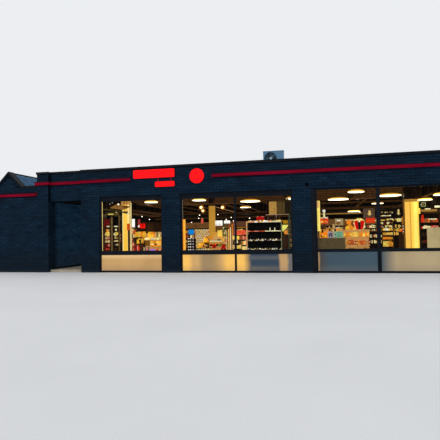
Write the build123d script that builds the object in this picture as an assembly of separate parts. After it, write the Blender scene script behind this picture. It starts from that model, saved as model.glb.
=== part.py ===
from build123d import *
from math import atan2, cos, degrees, pi, radians, sin
import os

os.makedirs("parts", exist_ok=True)

# Single-storey supermarket. Millimetres, +Z up, front towards -Y, ground at Z = 0.
# Along the front, x is first counted from the hall's left corner, then centred.

# Hall
hall_depth = 14000
wall = 320
wall_top = 4230
floor_thick = 100
roof_thick = 300
upstand = 150

# Coping: a flat cap with a thin leg and a drip down each outer face
coping_thick = 50
coping_overhang = 30
leg_thick = 12
leg_drop = 35
drip = 8
coping_joint = 4

# Projecting band, folded from sheet, with a gap for a sign between windows 1 and 2
band_below_top = 495
band_face = 125
band_fall = 10
band_proud = 70
band_lip = 12
sign_gap_before = 2100
sign_gap_width = 3420

# Entrance porch at the left end of the front
column_width = 540
column_depth = 380
porch_width = 1550
porch_depth = 4280
porch_head = 3010
porch_ceiling_thick = 80
fascia_setback = 150
porch_wall = 200

# Entrance doorway in the porch's right wall
door_start = 1080
door_from_back = 260
door_bar = 60
door_bar_depth = 60
door_transom_height = 2450
door_light_height = 180
leaf_gap = 10
leaf_stile = 45
leaf_depth = 40
leaf_glass = 12

# Front openings and the piers between them, from left to right
pier_1_width = 840
window_1_width = 2740
pier_2_width = 760
window_2_width = 4390
pier_3_width = 680
trim_width = 150
window_3_width = 4400
pier_4_width = 840
window_head = 3100

# Window joinery
frame_recess = 30
frame_depth = 80
stile = 60
sill_rail = 80
top_rail = 50
transom_top = 880
transom_height = 170
transom_3_height = 110
head_panel_height = 90
bead = 8
mullion_2 = 80
mullion_3 = 130
glass_thick = 24
rebate = 12
trim_proud = 15

# Left wing
wing_width = 2860
wing_setback = 30
wing_wall_top = 3670
gable_half = 650
wing_upstand = 220
wing_deck_thick = 200
wing_roof_rise = 900
slate_thick = 120
ridge_cap_width = 120
ridge_cap_thick = 6
ridge_roll = 22
wing_band_below_top = 385
passage_width = 1020
passage_head = 2400

# Air conditioner on the roof
ac_width = 885
ac_depth = 350
ac_height = 720
ac_corner = 18
ac_before_pier_3 = 1380
ac_front = 2500
lid_height = 25
lid_overhang = 8
bearer_height = 200
bearer_width = 120
ac_foot = 80
foot_width = 60
fan_from_left = 320
fan_up = 400
fan_radius = 250
fan_clearance = 12
fan_hub = 55
hub_depth = 90
hub_bevel = 12
motor_radius = 70
fan_blades = 3
blade_thick = 8
blade_tip_radius = 228
root_chord = 90
tip_chord = 170
root_pitch = 42
tip_pitch = 20
fan_well = 175
mouth_width = 16
mouth_proud = 10
guard_wire = 6
guard_rings = 4
guard_spokes = 8
louvre_count = 7
louvre_pitch = 32
louvre_height = 12
louvre_width = 180
louvre_depth = 15
louvre_bottom = 90
louvre_from_right = 50

# Inside
inner_column = 300
column_chamfer = 12
column_1_before_window_1 = 225
column_1_front = 2600
column_2_before_window_2 = 695
column_2_front = 7200
wide_column_width = 650
wide_column_depth = 400
wide_column_after_window_3 = 3845
wide_column_front = 4500
lamp_small = 680
lamp_large = 1030
lamp_height = 50
lamp_bevel = 18
lamp_sides = 36
lamp_drop = 625
lamp_rod = 12
lamp_rods_apart = 360
rack_after_window_2 = 2465
rack_front = 1000
rack_width = 1430
rack_height = 1870
rack_depth = 450
rack_post = 40
rack_shelf = 30
rack_shelves = 5
gondola_front = 2600
gondola_height = 1500
gondola_depth = 900
gondola_base = 150
gondola_spine = 40
gondola_shelf = 30
gondola_shelf_depth = 330
gondola_shelves = 3
gondola_1_length = 1100
gondola_1_after_window_1 = 770
gondola_2_length = 1900
gondola_2_after_window_2 = 470
gondola_3_length = 2200
gondola_3_before_window_3 = 50
screen_before_pier_4 = 440
screen_front = 800
screen_height = 1500
screen_thick = 60

# Lamps behind each window: middle from the window's left side and from the front, and size
lamps_1 = [(605, 4170, lamp_small)]
lamps_2 = [(-365, 4070, lamp_small), (1875, 5820, lamp_large)]
lamps_2 += [(805, 10620, lamp_small), (4095, 5030, lamp_small)]
lamps_3 = [(1055, 6560, lamp_large), (1645, 2660, lamp_small)]
lamps_3 += [(3340, 5230, lamp_large), (3455, 10860, lamp_small)]

# Camera dome on the pier between windows 2 and 3
dome_radius = 53
dome_plate = 12
dome_rim = 10
dome_steps = 4
dome_sides = 24
dome_height = 3280
dome_from_pier = 540

# Places worked out from the sizes above
porch_left = column_width
porch_right = porch_left + porch_width
window_1_left = porch_right + pier_1_width
window_1_right = window_1_left + window_1_width
window_2_left = window_1_right + pier_2_width
window_2_right = window_2_left + window_2_width
trim_left = window_2_right + pier_3_width
window_3_left = trim_left + trim_width
window_3_right = window_3_left + window_3_width
hall_right = window_3_right + pier_4_width
porch_end = column_depth + porch_depth
porch_wall_end = porch_end - porch_wall
door_end = porch_wall_end - door_from_back
door_head = door_transom_height + door_light_height + 2 * door_bar
passage_back = porch_end + passage_width
wing_left = -wing_width
wing_middle = wing_left + wing_width / 2
wing_front = wing_setback
wing_back = passage_back + wall
wing_inner_front = wing_front + wall
wing_deck_top = wing_wall_top - wing_upstand
wing_ridge = wing_deck_top + wing_roof_rise
wing_band_bottom = wing_wall_top - wing_band_below_top
hall_back = hall_depth - wall
roof_top = wall_top - upstand
roof_bottom = roof_top - roof_thick
band_bottom = wall_top - band_below_top
sign_gap_start = window_2_left - sign_gap_before
sign_gap_end = sign_gap_start + sign_gap_width
head_panel_bottom = window_head - top_rail - head_panel_height
frame_front = frame_recess
frame_back = frame_front + frame_depth
glass_front = frame_front + (frame_depth - glass_thick) / 2
ac_left = window_2_right - ac_before_pier_3
ac_base = roof_top + bearer_height + ac_foot
fan_x = ac_left + fan_from_left
fan_z = ac_base + fan_up
fan_hollow = fan_radius + fan_clearance
column_1_left = window_1_left - column_1_before_window_1
column_2_left = window_2_left - column_2_before_window_2
wide_column_left = window_3_left + wide_column_after_window_3
rack_left = window_2_left + rack_after_window_2
gondola_places = [
    (window_1_left + gondola_1_after_window_1, gondola_1_length),
    (window_2_left + gondola_2_after_window_2, gondola_2_length),
    (window_3_left - gondola_3_before_window_3, gondola_3_length),
]
screen_left = window_3_right - screen_before_pier_4
lamp_bottom = roof_bottom - lamp_drop
origin_x = (wing_left + hall_right) / 2
origin_y = hall_depth / 2


def block(x0, x1, y0, y1, z0, z1):
    """A plain box between two corners, counted from the hall's front left corner."""
    middle = Pos((x0 + x1) / 2 - origin_x, (y0 + y1) / 2 - origin_y, (z0 + z1) / 2)
    return middle * Box(x1 - x0, y1 - y0, z1 - z0)


def upright_prism(points, z0, z1):
    """A plan outline raised from z0 to z1."""
    moved = [(x - origin_x, y - origin_y) for x, y in points]
    face = make_face(Polyline(*moved, close=True))
    return Pos(0, 0, z0) * extrude(face, z1 - z0, dir=(0, 0, 1))


def front_prism(points, y0, y1):
    """An outline seen from the front, run from y0 back to y1."""
    moved = [(x - origin_x, z) for x, z in points]
    plane = Plane(origin=(0, y0 - origin_y, 0), x_dir=(1, 0, 0), z_dir=(0, -1, 0))
    face = plane * make_face(Polyline(*moved, close=True))
    return extrude(face, y1 - y0, dir=(0, 1, 0))


def moulding(route, section, level, closed):
    """A section of (outwards, up) points run along a plan route, mitred at each corner."""
    path = Polyline(*[(x - origin_x, y - origin_y, level) for x, y in route], close=closed)
    along = path % 0
    plane = Plane(origin=path @ 0, x_dir=along.cross(Vector(0, 0, 1)), z_dir=-along)
    face = plane * make_face(Polyline(*section, close=True))
    return sweep(face, path=path, transition=Transition.RIGHT)


def save(name, shape):
    """Write one node."""
    shape.label = name
    export_step(shape, "parts/" + name + ".step")


# Floors and walls of the hall
def floor_slab():
    slab = block(wall, hall_right - wall, wall, hall_back, 0, floor_thick)
    slab -= block(wall, porch_left, wall, porch_end, 0, floor_thick)
    slab += block(porch_left, porch_right, fascia_setback, wall, 0, floor_thick)
    slab += block(0, wall, porch_end, passage_back, 0, floor_thick)
    slab += block(wing_left + wall, 0, wing_inner_front, passage_back, 0, floor_thick)
    for left, right in window_spans():
        slab += block(left, right, frame_back, wall, 0, floor_thick)
    return slab


def window_spans():
    return [
        (window_1_left, window_1_right),
        (window_2_left, window_2_right),
        (window_3_left, window_3_right),
    ]


def hall_walls():
    save("portal_column", block(0, column_width, 0, column_depth, 0, wall_top))
    save("porch_left_wall", block(0, column_width, column_depth, porch_end, 0, wall_top))
    save("portal_fascia", block(porch_left, porch_right, fascia_setback, column_depth, porch_head, wall_top))
    save("front_fascia", block(porch_right, hall_right, 0, wall, window_head, wall_top))
    spans = [(porch_right, window_1_left), (window_1_right, window_2_left),
             (window_2_right, trim_left), (window_3_right, hall_right)]
    save("front_piers", Compound(children=[block(x0, x1, 0, wall, 0, window_head) for x0, x1 in spans]))
    save("right_wall", block(hall_right - wall, hall_right, wall, hall_back, 0, wall_top))
    save("back_wall", block(0, hall_right, hall_back, hall_depth, 0, wall_top))
    over_passage = block(0, wall, porch_end, passage_back, passage_head, wall_top)
    save("left_wall", block(0, wall, passage_back, hall_back, 0, wall_top) + over_passage)


def porch():
    """The covered porch and the glazed doorway in its right wall."""
    wall_back = porch_right + porch_wall
    right_wall = block(porch_right, wall_back, wall, porch_end, floor_thick, roof_bottom)
    right_wall -= block(porch_right, wall_back, door_start, door_end, floor_thick, door_head)
    save("porch_right_wall", right_wall)
    save("porch_back_wall", block(porch_left, porch_right, porch_wall_end, porch_end,
                                  floor_thick, roof_bottom))
    save("porch_ceiling", block(porch_left, porch_right, column_depth, porch_wall_end,
                                porch_head, porch_head + porch_ceiling_thick))


def entrance():
    """Frame with two fixed side lights; the two sliding leaves stand open behind them."""
    panel = (door_end - door_start) / 4
    middle = porch_right + porch_wall / 2
    x0 = middle - door_bar_depth / 2
    x1 = middle + door_bar_depth / 2
    frame = block(x0, x1, door_start, door_end, floor_thick, door_head)
    lights = [(door_start + door_bar, door_start + panel), (door_end - panel, door_end - door_bar)]
    transom = door_transom_height + door_bar
    g0 = middle - leaf_glass / 2
    g1 = middle + leaf_glass / 2
    glass = None
    for low, high in lights:
        frame -= block(x0, x1, low, high, floor_thick + door_bar, door_transom_height)
        frame -= block(g0, g1, low - rebate, high + rebate, floor_thick + door_bar - rebate,
                       door_transom_height + rebate)
        sheet = block(g0, g1, low - rebate, high + rebate, floor_thick + door_bar - rebate,
                      door_transom_height + rebate)
        glass = sheet if glass is None else glass + sheet
    frame -= block(x0, x1, lights[0][1] + door_bar, lights[1][0] - door_bar, floor_thick, door_transom_height)
    frame -= block(x0, x1, door_start + door_bar, door_end - door_bar, transom, door_head - door_bar)
    frame -= block(g0, g1, door_start + door_bar - rebate, door_end - door_bar + rebate, transom - rebate,
                   door_head - door_bar + rebate)
    glass += block(g0, g1, door_start + door_bar - rebate, door_end - door_bar + rebate, transom - rebate,
                   door_head - door_bar + rebate)
    save("entrance_frame", frame)
    leaves, panes = entrance_leaves(x1 + leaf_gap, panel)
    save("entrance_leaves", leaves)
    save("entrance_glass", glass + panes)


def entrance_leaves(x0, panel):
    """Two framed leaves, hung on the hall side and parked clear of the doorway."""
    x1 = x0 + leaf_depth
    g0 = (x0 + x1 - leaf_glass) / 2
    g1 = g0 + leaf_glass
    z0 = floor_thick
    z1 = door_transom_height
    leaves = None
    panes = None
    for low in (door_start, door_end - panel):
        high = low + panel
        leaf = block(x0, x1, low, high, z0, z1)
        leaf -= block(x0, x1, low + leaf_stile, high - leaf_stile, z0 + leaf_stile, z1 - leaf_stile)
        inset = leaf_stile - rebate
        pane = block(g0, g1, low + inset, high - inset, z0 + inset, z1 - inset)
        leaf -= pane
        leaves = leaf if leaves is None else leaves + leaf
        panes = pane if panes is None else panes + pane
    return leaves, panes


# Windows: a frame that stands in each opening, its glass, and the opaque lower panels
def bead_cut(x0, x1, z0, z1):
    """The bevel round a light: it narrows from the frame's face to the light itself."""
    middle = ((x0 + x1) / 2 - origin_x, frame_front - origin_y, (z0 + z1) / 2)
    plane = Plane(origin=middle, x_dir=(1, 0, 0), z_dir=(0, -1, 0))
    return extrude(plane * Rectangle(x1 - x0 + 2 * bead, z1 - z0 + 2 * bead), -bead, taper=45)


def window(left, right, mullions, mullion_width, transom_bar, head_panel):
    """Return the frame, the clear sheets, the lower panels and the head panels of one window."""
    frame = block(left, right, frame_front, frame_back, 0, window_head)
    count = mullions + 1
    light = (right - left - 2 * stile - mullions * mullion_width) / count
    upper_top = head_panel_bottom - top_rail if head_panel else window_head - top_rail
    rows = [("panel", sill_rail, transom_top - transom_bar), ("glass", transom_top, upper_top)]
    if head_panel:
        rows.append(("head", head_panel_bottom, window_head - top_rail))
    sheets = {"panel": [], "glass": [], "head": []}
    for index in range(count):
        x0 = left + stile + index * (light + mullion_width)
        x1 = x0 + light
        for row, z0, z1 in rows:
            frame -= block(x0, x1, frame_front, frame_back, z0, z1)
            frame -= bead_cut(x0, x1, z0, z1)
            sheet = block(x0 - rebate, x1 + rebate, glass_front, glass_front + glass_thick,
                          z0 - rebate, z1 + rebate)
            frame -= sheet
            sheets[row].append(sheet)
    return frame, sheets


def windows():
    made = [
        window(window_1_left, window_1_right, 0, mullion_2, transom_height, True),
        window(window_2_left, window_2_right, 1, mullion_2, transom_height, True),
        window(window_3_left, window_3_right, 1, mullion_3, transom_3_height, False),
    ]
    sheets = {"panel": [], "glass": [], "head": []}
    for number, (frame, rows) in enumerate(made, start=1):
        save("window_" + str(number) + "_frame", frame)
        for row in sheets:
            sheets[row] += rows[row]
    save("window_glass", Compound(children=sheets["glass"]))
    save("window_lower_panels", Compound(children=sheets["panel"]))
    save("window_head_panels", Compound(children=sheets["head"]))
    save("window_3_trim", block(trim_left, window_3_left, -trim_proud, wall, 0, window_head))


# Roof, coping and band of the hall
def hall_route(start):
    """The hall's plan from a point on its front, round to the porch's right side."""
    return [
        (start, 0),
        (hall_right, 0),
        (hall_right, hall_depth),
        (0, hall_depth),
        (0, 0),
        (porch_left, 0),
        (porch_left, fascia_setback),
        (porch_right, fascia_setback),
        (porch_right, 0),
    ]


def roof_deck():
    deck = block(wall, hall_right - wall, wall, hall_back, roof_bottom, roof_top)
    deck -= block(wall, porch_left, wall, porch_end, roof_bottom, roof_top)
    deck -= block(porch_left, porch_right, wall, column_depth, roof_bottom, roof_top)
    return deck


def coping_section():
    """The cap's outer edge: it hangs over the face and ends in a leg with a small drip."""
    inner = coping_overhang - leg_thick
    return [
        (0, 0),
        (inner, 0),
        (inner, -leg_drop),
        (inner + drip, -leg_drop - drip),
        (coping_overhang + drip, -leg_drop - drip),
        (coping_overhang, -leg_drop),
        (coping_overhang, coping_thick),
        (0, coping_thick),
    ]


def hall_coping():
    """The cap is laid in six lengths, with an open joint between each two."""
    top = wall_top + coping_thick
    low = wall_top - leg_drop - drip
    reach = coping_overhang + drip
    inner_left = wall + coping_overhang
    inner_right = hall_right - wall - coping_overhang
    inner_back = hall_back - coping_overhang
    porch_side = column_width + coping_overhang
    porch_back = porch_end + coping_overhang
    cap = upright_prism(hall_route(window_2_left), wall_top, top)
    cap -= block(inner_left, inner_right, porch_back, inner_back, wall_top, top)
    cap -= block(porch_side, inner_right, column_depth + coping_overhang, porch_back, wall_top, top)
    cap += moulding(hall_route(window_2_left), coping_section(), wall_top, True)
    joints = [
        (column_width + reach, -reach, porch_back),
        (porch_right - reach - coping_joint, -reach, porch_back),
        (inner_right - coping_joint, -reach, hall_depth + reach),
        (inner_left, inner_back, hall_depth + reach),
    ]
    for x, y0, y1 in joints:
        cap -= block(x, x + coping_joint, y0, y1, low, top)
    cap -= block(-reach, porch_side, porch_back, porch_back + coping_joint, low, top)
    return Compound(children=cap.solids())


def band_section():
    """Folded sheet: a sloping top, a flat face and a lip turned up underneath."""
    return [
        (0, band_face + band_fall),
        (band_proud, band_face),
        (band_proud, 0),
        (band_proud - band_lip, 0),
        (band_proud - band_lip, band_lip),
        (0, band_lip),
    ]


def hall_band():
    """The projecting band runs round the hall from one side of the sign's place to the other."""
    return moulding(hall_route(sign_gap_end) + [(sign_gap_start, 0)], band_section(), band_bottom, False)


# Left wing with its small gable
def gable_outline(bottom, top):
    """Front wall outline: level parapets at top and a steep gable in the middle."""
    return [
        (wing_left, bottom),
        (0, bottom),
        (0, top),
        (wing_middle + gable_half, top),
        (wing_middle, top + gable_half),
        (wing_middle - gable_half, top),
        (wing_left, top),
    ]


def wing():
    back_face = wing_back - wall
    gable = gable_outline(0, wing_wall_top)
    save("wing_front_wall", front_prism(gable, wing_front, wing_inner_front))
    save("wing_back_wall", front_prism(gable, back_face, wing_back))
    save("wing_left_wall", block(wing_left, wing_left + wall, wing_inner_front, back_face, 0, wing_wall_top))
    save("wing_roof_deck", block(wing_left + wall, 0, wing_inner_front, back_face,
                                 wing_deck_top - wing_deck_thick, wing_deck_top))
    save("wing_pitched_roof", pitched_roof(wing_inner_front, back_face))
    save("wing_ridge_cap", ridge_cap(wing_inner_front, back_face))
    save("wing_coping", wing_coping())
    route = [(0, wing_back), (wing_left, wing_back), (wing_left, wing_front), (0, wing_front)]
    save("wing_band", moulding(route, band_section(), wing_band_bottom, False))


def pitched_roof(y0, y1):
    """Two 45 degree slopes that stand on the wing's deck, open underneath."""
    inner = wing_roof_rise - slate_thick * 2 ** 0.5
    outer_face = slope_outline(wing_roof_rise)
    return front_prism(outer_face, y0, y1) - front_prism(slope_outline(inner), y0, y1)


def slope_outline(half):
    """A right-angled gable of half width half, on the wing's deck."""
    return [
        (wing_middle - half, wing_deck_top),
        (wing_middle + half, wing_deck_top),
        (wing_middle, wing_deck_top + half),
    ]


def ridge_cap(y0, y1):
    """A folded cap over the ridge, with a roll along its top."""
    rise = ridge_cap_thick * 2 ** 0.5
    foot = wing_ridge - ridge_cap_width
    fold = [
        (wing_middle - ridge_cap_width, foot),
        (wing_middle, wing_ridge),
        (wing_middle + ridge_cap_width, foot),
        (wing_middle + ridge_cap_width, foot + rise),
        (wing_middle, wing_ridge + rise),
        (wing_middle - ridge_cap_width, foot + rise),
    ]
    roll = front_cylinder(wing_middle, wing_ridge, ridge_roll, y0, y1)
    return front_prism(fold, y0, y1) + roll - front_prism(slope_outline(wing_roof_rise), y0, y1)


def wing_coping():
    """One thin cap over each wing wall, following the gables, with a leg down each outer face."""
    back_face = wing_back - wall
    top = wing_wall_top + coping_thick
    low = wing_wall_top - leg_drop
    x0 = wing_left - coping_overhang
    caps = block(x0, wing_left + wall + coping_overhang, wing_inner_front, back_face, wing_wall_top, top)
    caps += block(x0, x0 + leg_thick, wing_front - coping_overhang, wing_back + coping_overhang,
                  low, wing_wall_top)
    for y0, y1, leg in ((wing_front - coping_overhang, wing_inner_front, wing_front - coping_overhang),
                        (back_face, wing_back + coping_overhang, wing_back + coping_overhang - leg_thick)):
        caps += front_prism(gable_cap_outline(wing_wall_top), y0, y1) - front_prism(
            gable_outline(0, wing_wall_top), y0, y1)
        caps += front_prism(gable_cap_outline(low), leg, leg + leg_thick) - front_prism(
            gable_outline(0, low), leg, leg + leg_thick)
    joints = [
        wing_left + wall + coping_overhang,
        wing_middle - gable_half,
        wing_middle,
        wing_middle + gable_half,
    ]
    for x in joints:
        caps -= block(x, x + coping_joint, wing_front - coping_overhang, wing_back + coping_overhang,
                      low, top + 2 * gable_half)
    return Compound(children=caps.solids())


def gable_cap_outline(low):
    """The gable's outline grown by the cap's thickness, and down to low."""
    top = wing_wall_top + coping_thick
    half = gable_half + coping_thick * (2 ** 0.5 - 1)
    return [
        (wing_left - coping_overhang, low),
        (0, low),
        (0, top),
        (wing_middle + half, top),
        (wing_middle, top + half),
        (wing_middle - half, top),
        (wing_left - coping_overhang, top),
    ]


# Air conditioner on the roof
def air_conditioner():
    feet = None
    for x in (ac_left + bearer_width, ac_left + ac_width - 2 * bearer_width):
        bearer = block(x, x + bearer_width, ac_front - bearer_width, ac_front + ac_depth + bearer_width,
                       roof_top, roof_top + bearer_height)
        foot_x = x + (bearer_width - foot_width) / 2
        foot = block(foot_x, foot_x + foot_width, ac_front, ac_front + ac_depth,
                     roof_top + bearer_height, ac_base)
        feet = bearer + foot if feet is None else feet + bearer + foot
    save("ac_case", ac_case())
    save("ac_bearers", feet)
    save("ac_fan", fan())
    save("ac_fan_guard", fan_guard())


def ac_case():
    """Casing with rounded corners, a lid, a mouth round the fan and a louvred panel beside it."""
    lid_bottom = ac_base + ac_height - lid_height
    case = block(ac_left, ac_left + ac_width, ac_front, ac_front + ac_depth, ac_base, lid_bottom)
    case = fillet(case.edges().filter_by(Axis.Z), ac_corner)
    lid = block(ac_left - lid_overhang, ac_left + ac_width + lid_overhang, ac_front - lid_overhang,
                ac_front + ac_depth + lid_overhang, lid_bottom, lid_bottom + lid_height)
    case += fillet(lid.edges().filter_by(Axis.Z), ac_corner)
    case += front_cylinder(fan_x, fan_z, fan_hollow + mouth_width, ac_front - mouth_proud, ac_front)
    case -= front_cylinder(fan_x, fan_z, fan_hollow, ac_front - mouth_proud, ac_front + fan_well)
    right = ac_left + ac_width - louvre_from_right
    left = right - louvre_width
    for index in range(louvre_count):
        low = ac_base + louvre_bottom + index * louvre_pitch
        case -= block(left, right, ac_front, ac_front + louvre_depth, low, low + louvre_height)
    return case


def front_cylinder(x, z, radius, y0, y1):
    """A round bar that points from the front to the back."""
    place = Plane(origin=(x - origin_x, y0 - origin_y, z), x_dir=(1, 0, 0), z_dir=(0, -1, 0))
    return extrude(place * Circle(radius), y1 - y0, dir=(0, 1, 0))


def fan():
    """Motor, bevelled hub and twisted blades, built along +Z and then turned to face the front."""
    hub = chamfer(extrude(Circle(fan_hub), hub_depth).edges().sort_by(Axis.Z)[-1], hub_bevel)
    motor_length = fan_well - hub_depth - 2 * fan_clearance
    body = hub + Pos(0, 0, -motor_length) * extrude(Circle(motor_radius), motor_length)
    one = Pos(0, 0, hub_depth / 2) * blade()
    for index in range(fan_blades):
        body += Rot(0, 0, 360 / fan_blades * index) * one
    back = ac_front + fan_well - motor_length
    return Pos(fan_x - origin_x, back - origin_y, fan_z) * (Rot(90, 0, 0) * body)


def blade():
    """A blade lofted through three sections, wider and flatter towards its tip."""
    root_radius = fan_hub - fan_clearance
    sections = []
    for share in (0, 0.5, 1):
        radius = root_radius + share * (blade_tip_radius - root_radius)
        chord = root_chord + share * (tip_chord - root_chord)
        pitch = root_pitch + share * (tip_pitch - root_pitch)
        place = Plane(origin=(radius, 0, 0), x_dir=(0, 1, 0), z_dir=(1, 0, 0))
        sections.append(place * (Rot(0, 0, pitch) * Rectangle(chord, blade_thick)))
    return loft(sections, ruled=True)


def fan_guard():
    """Concentric rings and spokes that stand on the mouth of the casing."""
    back = ac_front - mouth_proud
    front = back - guard_wire
    outermost = fan_hollow + mouth_width / 2
    step = (outermost - fan_hub) / (guard_rings - 1)
    guard = front_cylinder(fan_x, fan_z, fan_hub / 2, front, back)
    for index in range(guard_rings):
        outer = fan_hub + index * step
        guard += front_cylinder(fan_x, fan_z, outer, front, back) - front_cylinder(
            fan_x, fan_z, outer - guard_wire, front, back)
    middle = Pos(fan_x - origin_x, (front + back) / 2 - origin_y, fan_z)
    for index in range(guard_spokes // 2):
        spoke = Box(2 * outermost - guard_wire, guard_wire, guard_wire)
        guard += middle * (Rot(0, 360 / guard_spokes * index, 0) * spoke)
    return guard


# What shows inside through the windows
def lamp(x, y, size):
    """A round lamp: flat face below, sloping rim, and sides that draw in towards the top."""
    middle = Pos(x - origin_x, y - origin_y, lamp_bottom)
    face = middle * RegularPolygon(size / 2 - lamp_bevel, lamp_sides)
    rim = middle * Pos(0, 0, lamp_bevel) * RegularPolygon(size / 2, lamp_sides)
    top = middle * Pos(0, 0, lamp_height) * RegularPolygon(size / 2 - lamp_bevel, lamp_sides)
    return loft([face, rim, top], ruled=True)


def lamps():
    """Round lamps over the shop, each on two rods from the roof."""
    bodies = []
    rods = []
    for left, places in ((window_1_left, lamps_1), (window_2_left, lamps_2), (window_3_left, lamps_3)):
        for along, y, size in places:
            bodies.append(lamp(left + along, y, size))
            for side in (-1, 1):
                rod = left + along + side * lamp_rods_apart / 2
                rods.append(block(rod - lamp_rod / 2, rod + lamp_rod / 2, y - lamp_rod / 2,
                                  y + lamp_rod / 2, lamp_bottom + lamp_height, roof_bottom))
    save("pendant_lamps", Compound(children=bodies))
    save("lamp_rods", Compound(children=rods))


def inner_columns():
    first = column(column_1_left, column_1_front, inner_column, inner_column)
    second = column(column_2_left, column_2_front, inner_column, inner_column)
    third = column(wide_column_left, wide_column_front, wide_column_width, wide_column_depth)
    save("inner_columns", Compound(children=[first, second, third]))


def column(x, y, width, depth):
    shaft = block(x, x + width, y, y + depth, floor_thick, roof_bottom)
    return chamfer(shaft.edges().filter_by(Axis.Z), column_chamfer)


def display_rack():
    """Open rack with four posts, shelves and a back."""
    x0 = rack_left
    x1 = x0 + rack_width
    y0 = rack_front
    y1 = y0 + rack_depth
    z0 = floor_thick
    z1 = z0 + rack_height
    rack = block(x0, x1, y1 - rack_shelf, y1, z0, z1)
    for x in (x0, x1 - rack_post):
        rack += block(x, x + rack_post, y0, y0 + rack_post, z0, z1)
        rack += block(x, x + rack_post, y1 - rack_post, y1, z0, z1)
    pitch = (rack_height - rack_shelf) / rack_shelves
    for index in range(rack_shelves + 1):
        low = z0 + index * pitch
        rack += block(x0, x1, y0, y1, low, low + rack_shelf)
    return rack


def gondola(x, length):
    """Free-standing run of shelves, both sides of a spine, narrower above the base."""
    z0 = floor_thick
    middle = gondola_front + gondola_depth / 2
    reach = gondola_spine / 2 + gondola_shelf_depth
    run = block(x, x + length, gondola_front, gondola_front + gondola_depth, z0, z0 + gondola_base)
    run += block(x, x + length, middle - gondola_spine / 2, middle + gondola_spine / 2,
                 z0, z0 + gondola_height)
    pitch = (gondola_height - gondola_base) / (gondola_shelves + 1)
    for index in range(1, gondola_shelves + 1):
        low = z0 + gondola_base + index * pitch
        run += block(x, x + length, middle - reach, middle + reach, low, low + gondola_shelf)
    return run


def inside():
    lamps()
    inner_columns()
    save("display_rack", display_rack())
    save("shelf_runs", Compound(children=[gondola(x, length) for x, length in gondola_places]))
    save("service_screen", block(screen_left, hall_right - wall, screen_front, screen_front + screen_thick,
                                 floor_thick, floor_thick + screen_height))


def dome():
    """Round plate and half dome in bands, on the pier between windows 2 and 3."""
    plate = extrude(RegularPolygon(dome_radius + dome_rim, dome_sides), amount=dome_plate)
    body = plate
    for index in range(dome_steps - 1):
        low = radians(90 * index / dome_steps)
        high = radians(90 * (index + 1) / dome_steps)
        rise = dome_radius * (sin(high) - sin(low))
        draw = dome_radius * (cos(low) - cos(high)) * cos(pi / dome_sides)
        middle = Pos(0, 0, dome_plate + dome_radius * sin(low))
        ring = middle * RegularPolygon(dome_radius * cos(low), dome_sides)
        body += extrude(ring, amount=rise, taper=degrees(atan2(draw, rise)))
    x = window_2_right + dome_from_pier
    return Pos(x - origin_x, -origin_y, dome_height) * (Rot(90, 0, 0) * body)


save("floor_slab", floor_slab())
hall_walls()
porch()
entrance()
windows()
save("roof_deck", roof_deck())
save("hall_coping", hall_coping())
save("hall_band", hall_band())
wing()
air_conditioner()
inside()
save("dome_camera", dome())
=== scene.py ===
import itertools
import math
import random
import bpy
import bmesh
from mathutils import Matrix, Vector


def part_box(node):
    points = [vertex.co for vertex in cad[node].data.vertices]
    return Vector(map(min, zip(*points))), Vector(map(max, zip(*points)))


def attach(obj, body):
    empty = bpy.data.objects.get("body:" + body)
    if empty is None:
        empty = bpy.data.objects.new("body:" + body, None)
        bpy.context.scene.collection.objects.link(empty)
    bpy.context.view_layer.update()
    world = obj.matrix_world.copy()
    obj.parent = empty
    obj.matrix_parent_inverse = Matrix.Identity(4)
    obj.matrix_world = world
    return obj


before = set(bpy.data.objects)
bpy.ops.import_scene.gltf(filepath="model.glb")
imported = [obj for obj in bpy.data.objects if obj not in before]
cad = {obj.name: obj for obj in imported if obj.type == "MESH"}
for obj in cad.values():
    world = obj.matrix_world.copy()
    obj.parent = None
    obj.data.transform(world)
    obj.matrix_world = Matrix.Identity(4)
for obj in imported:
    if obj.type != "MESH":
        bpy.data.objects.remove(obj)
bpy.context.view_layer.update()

hallLow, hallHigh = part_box("back_wall")       # the hall's left and right ends
frontY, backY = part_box("front_fascia")[0].y, hallHigh.y
ceilingZ, roofTop = (corner.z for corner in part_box("roof_deck"))
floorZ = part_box("floor_slab")[1].z
wallTop = hallHigh.z
windows = [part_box("window_%d_frame" % n) for n in (1, 2, 3)]
windowHead = windows[0][1].z

white = (1.0, 1.0, 1.0)
palette = {  # screen colours, 0 to 255
    "wallDeep": (17, 37, 55), "wallMid": (20, 42, 61), "wallPale": (24, 47, 67), "joint": (5, 12, 20),
    "shadow": (11, 24, 36), "plaster": (52, 33, 19), "plasterPale": (74, 49, 28), "beam": (76, 48, 23),
    "beamPale": (120, 80, 44), "soot": (30, 20, 10),
    "cream": (250, 228, 152), "butter": (250, 214, 96), "yellow": (250, 194, 48), "orange": (244, 142, 34),
    "amber": (214, 146, 44), "red": (214, 28, 22), "deepRed": (104, 14, 14), "brown": (104, 62, 30),
    "dark": (26, 18, 12), "black": (5, 5, 6), "pink": (226, 128, 104), "white": (250, 246, 236),
    "green": (110, 140, 56), "blue": (6, 146, 244), "purple": (176, 128, 236), "grey": (120, 112, 104),
    "olive": (84, 74, 38), "beige": (214, 178, 116), "khaki": (150, 122, 66), "rust": (186, 78, 38),
    "pale": (252, 244, 186), "wood": (142, 92, 44), "umber": (66, 42, 22), "wine": (80, 14, 16),
}


def tinge(tone, shade=1.0):
    # a named tone, a screen colour in whole numbers or a linear one, made lighter or darker
    if isinstance(tone, str):
        tone = palette[tone]
    if isinstance(tone[0], int):
        shares = [v / 255 for v in tone]
        tone = [s / 12.92 if s <= 0.04045 else ((s + 0.055) / 1.055) ** 2.4 for s in shares]
    return tuple(min(v * shade, 1.0) for v in tone)


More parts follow.
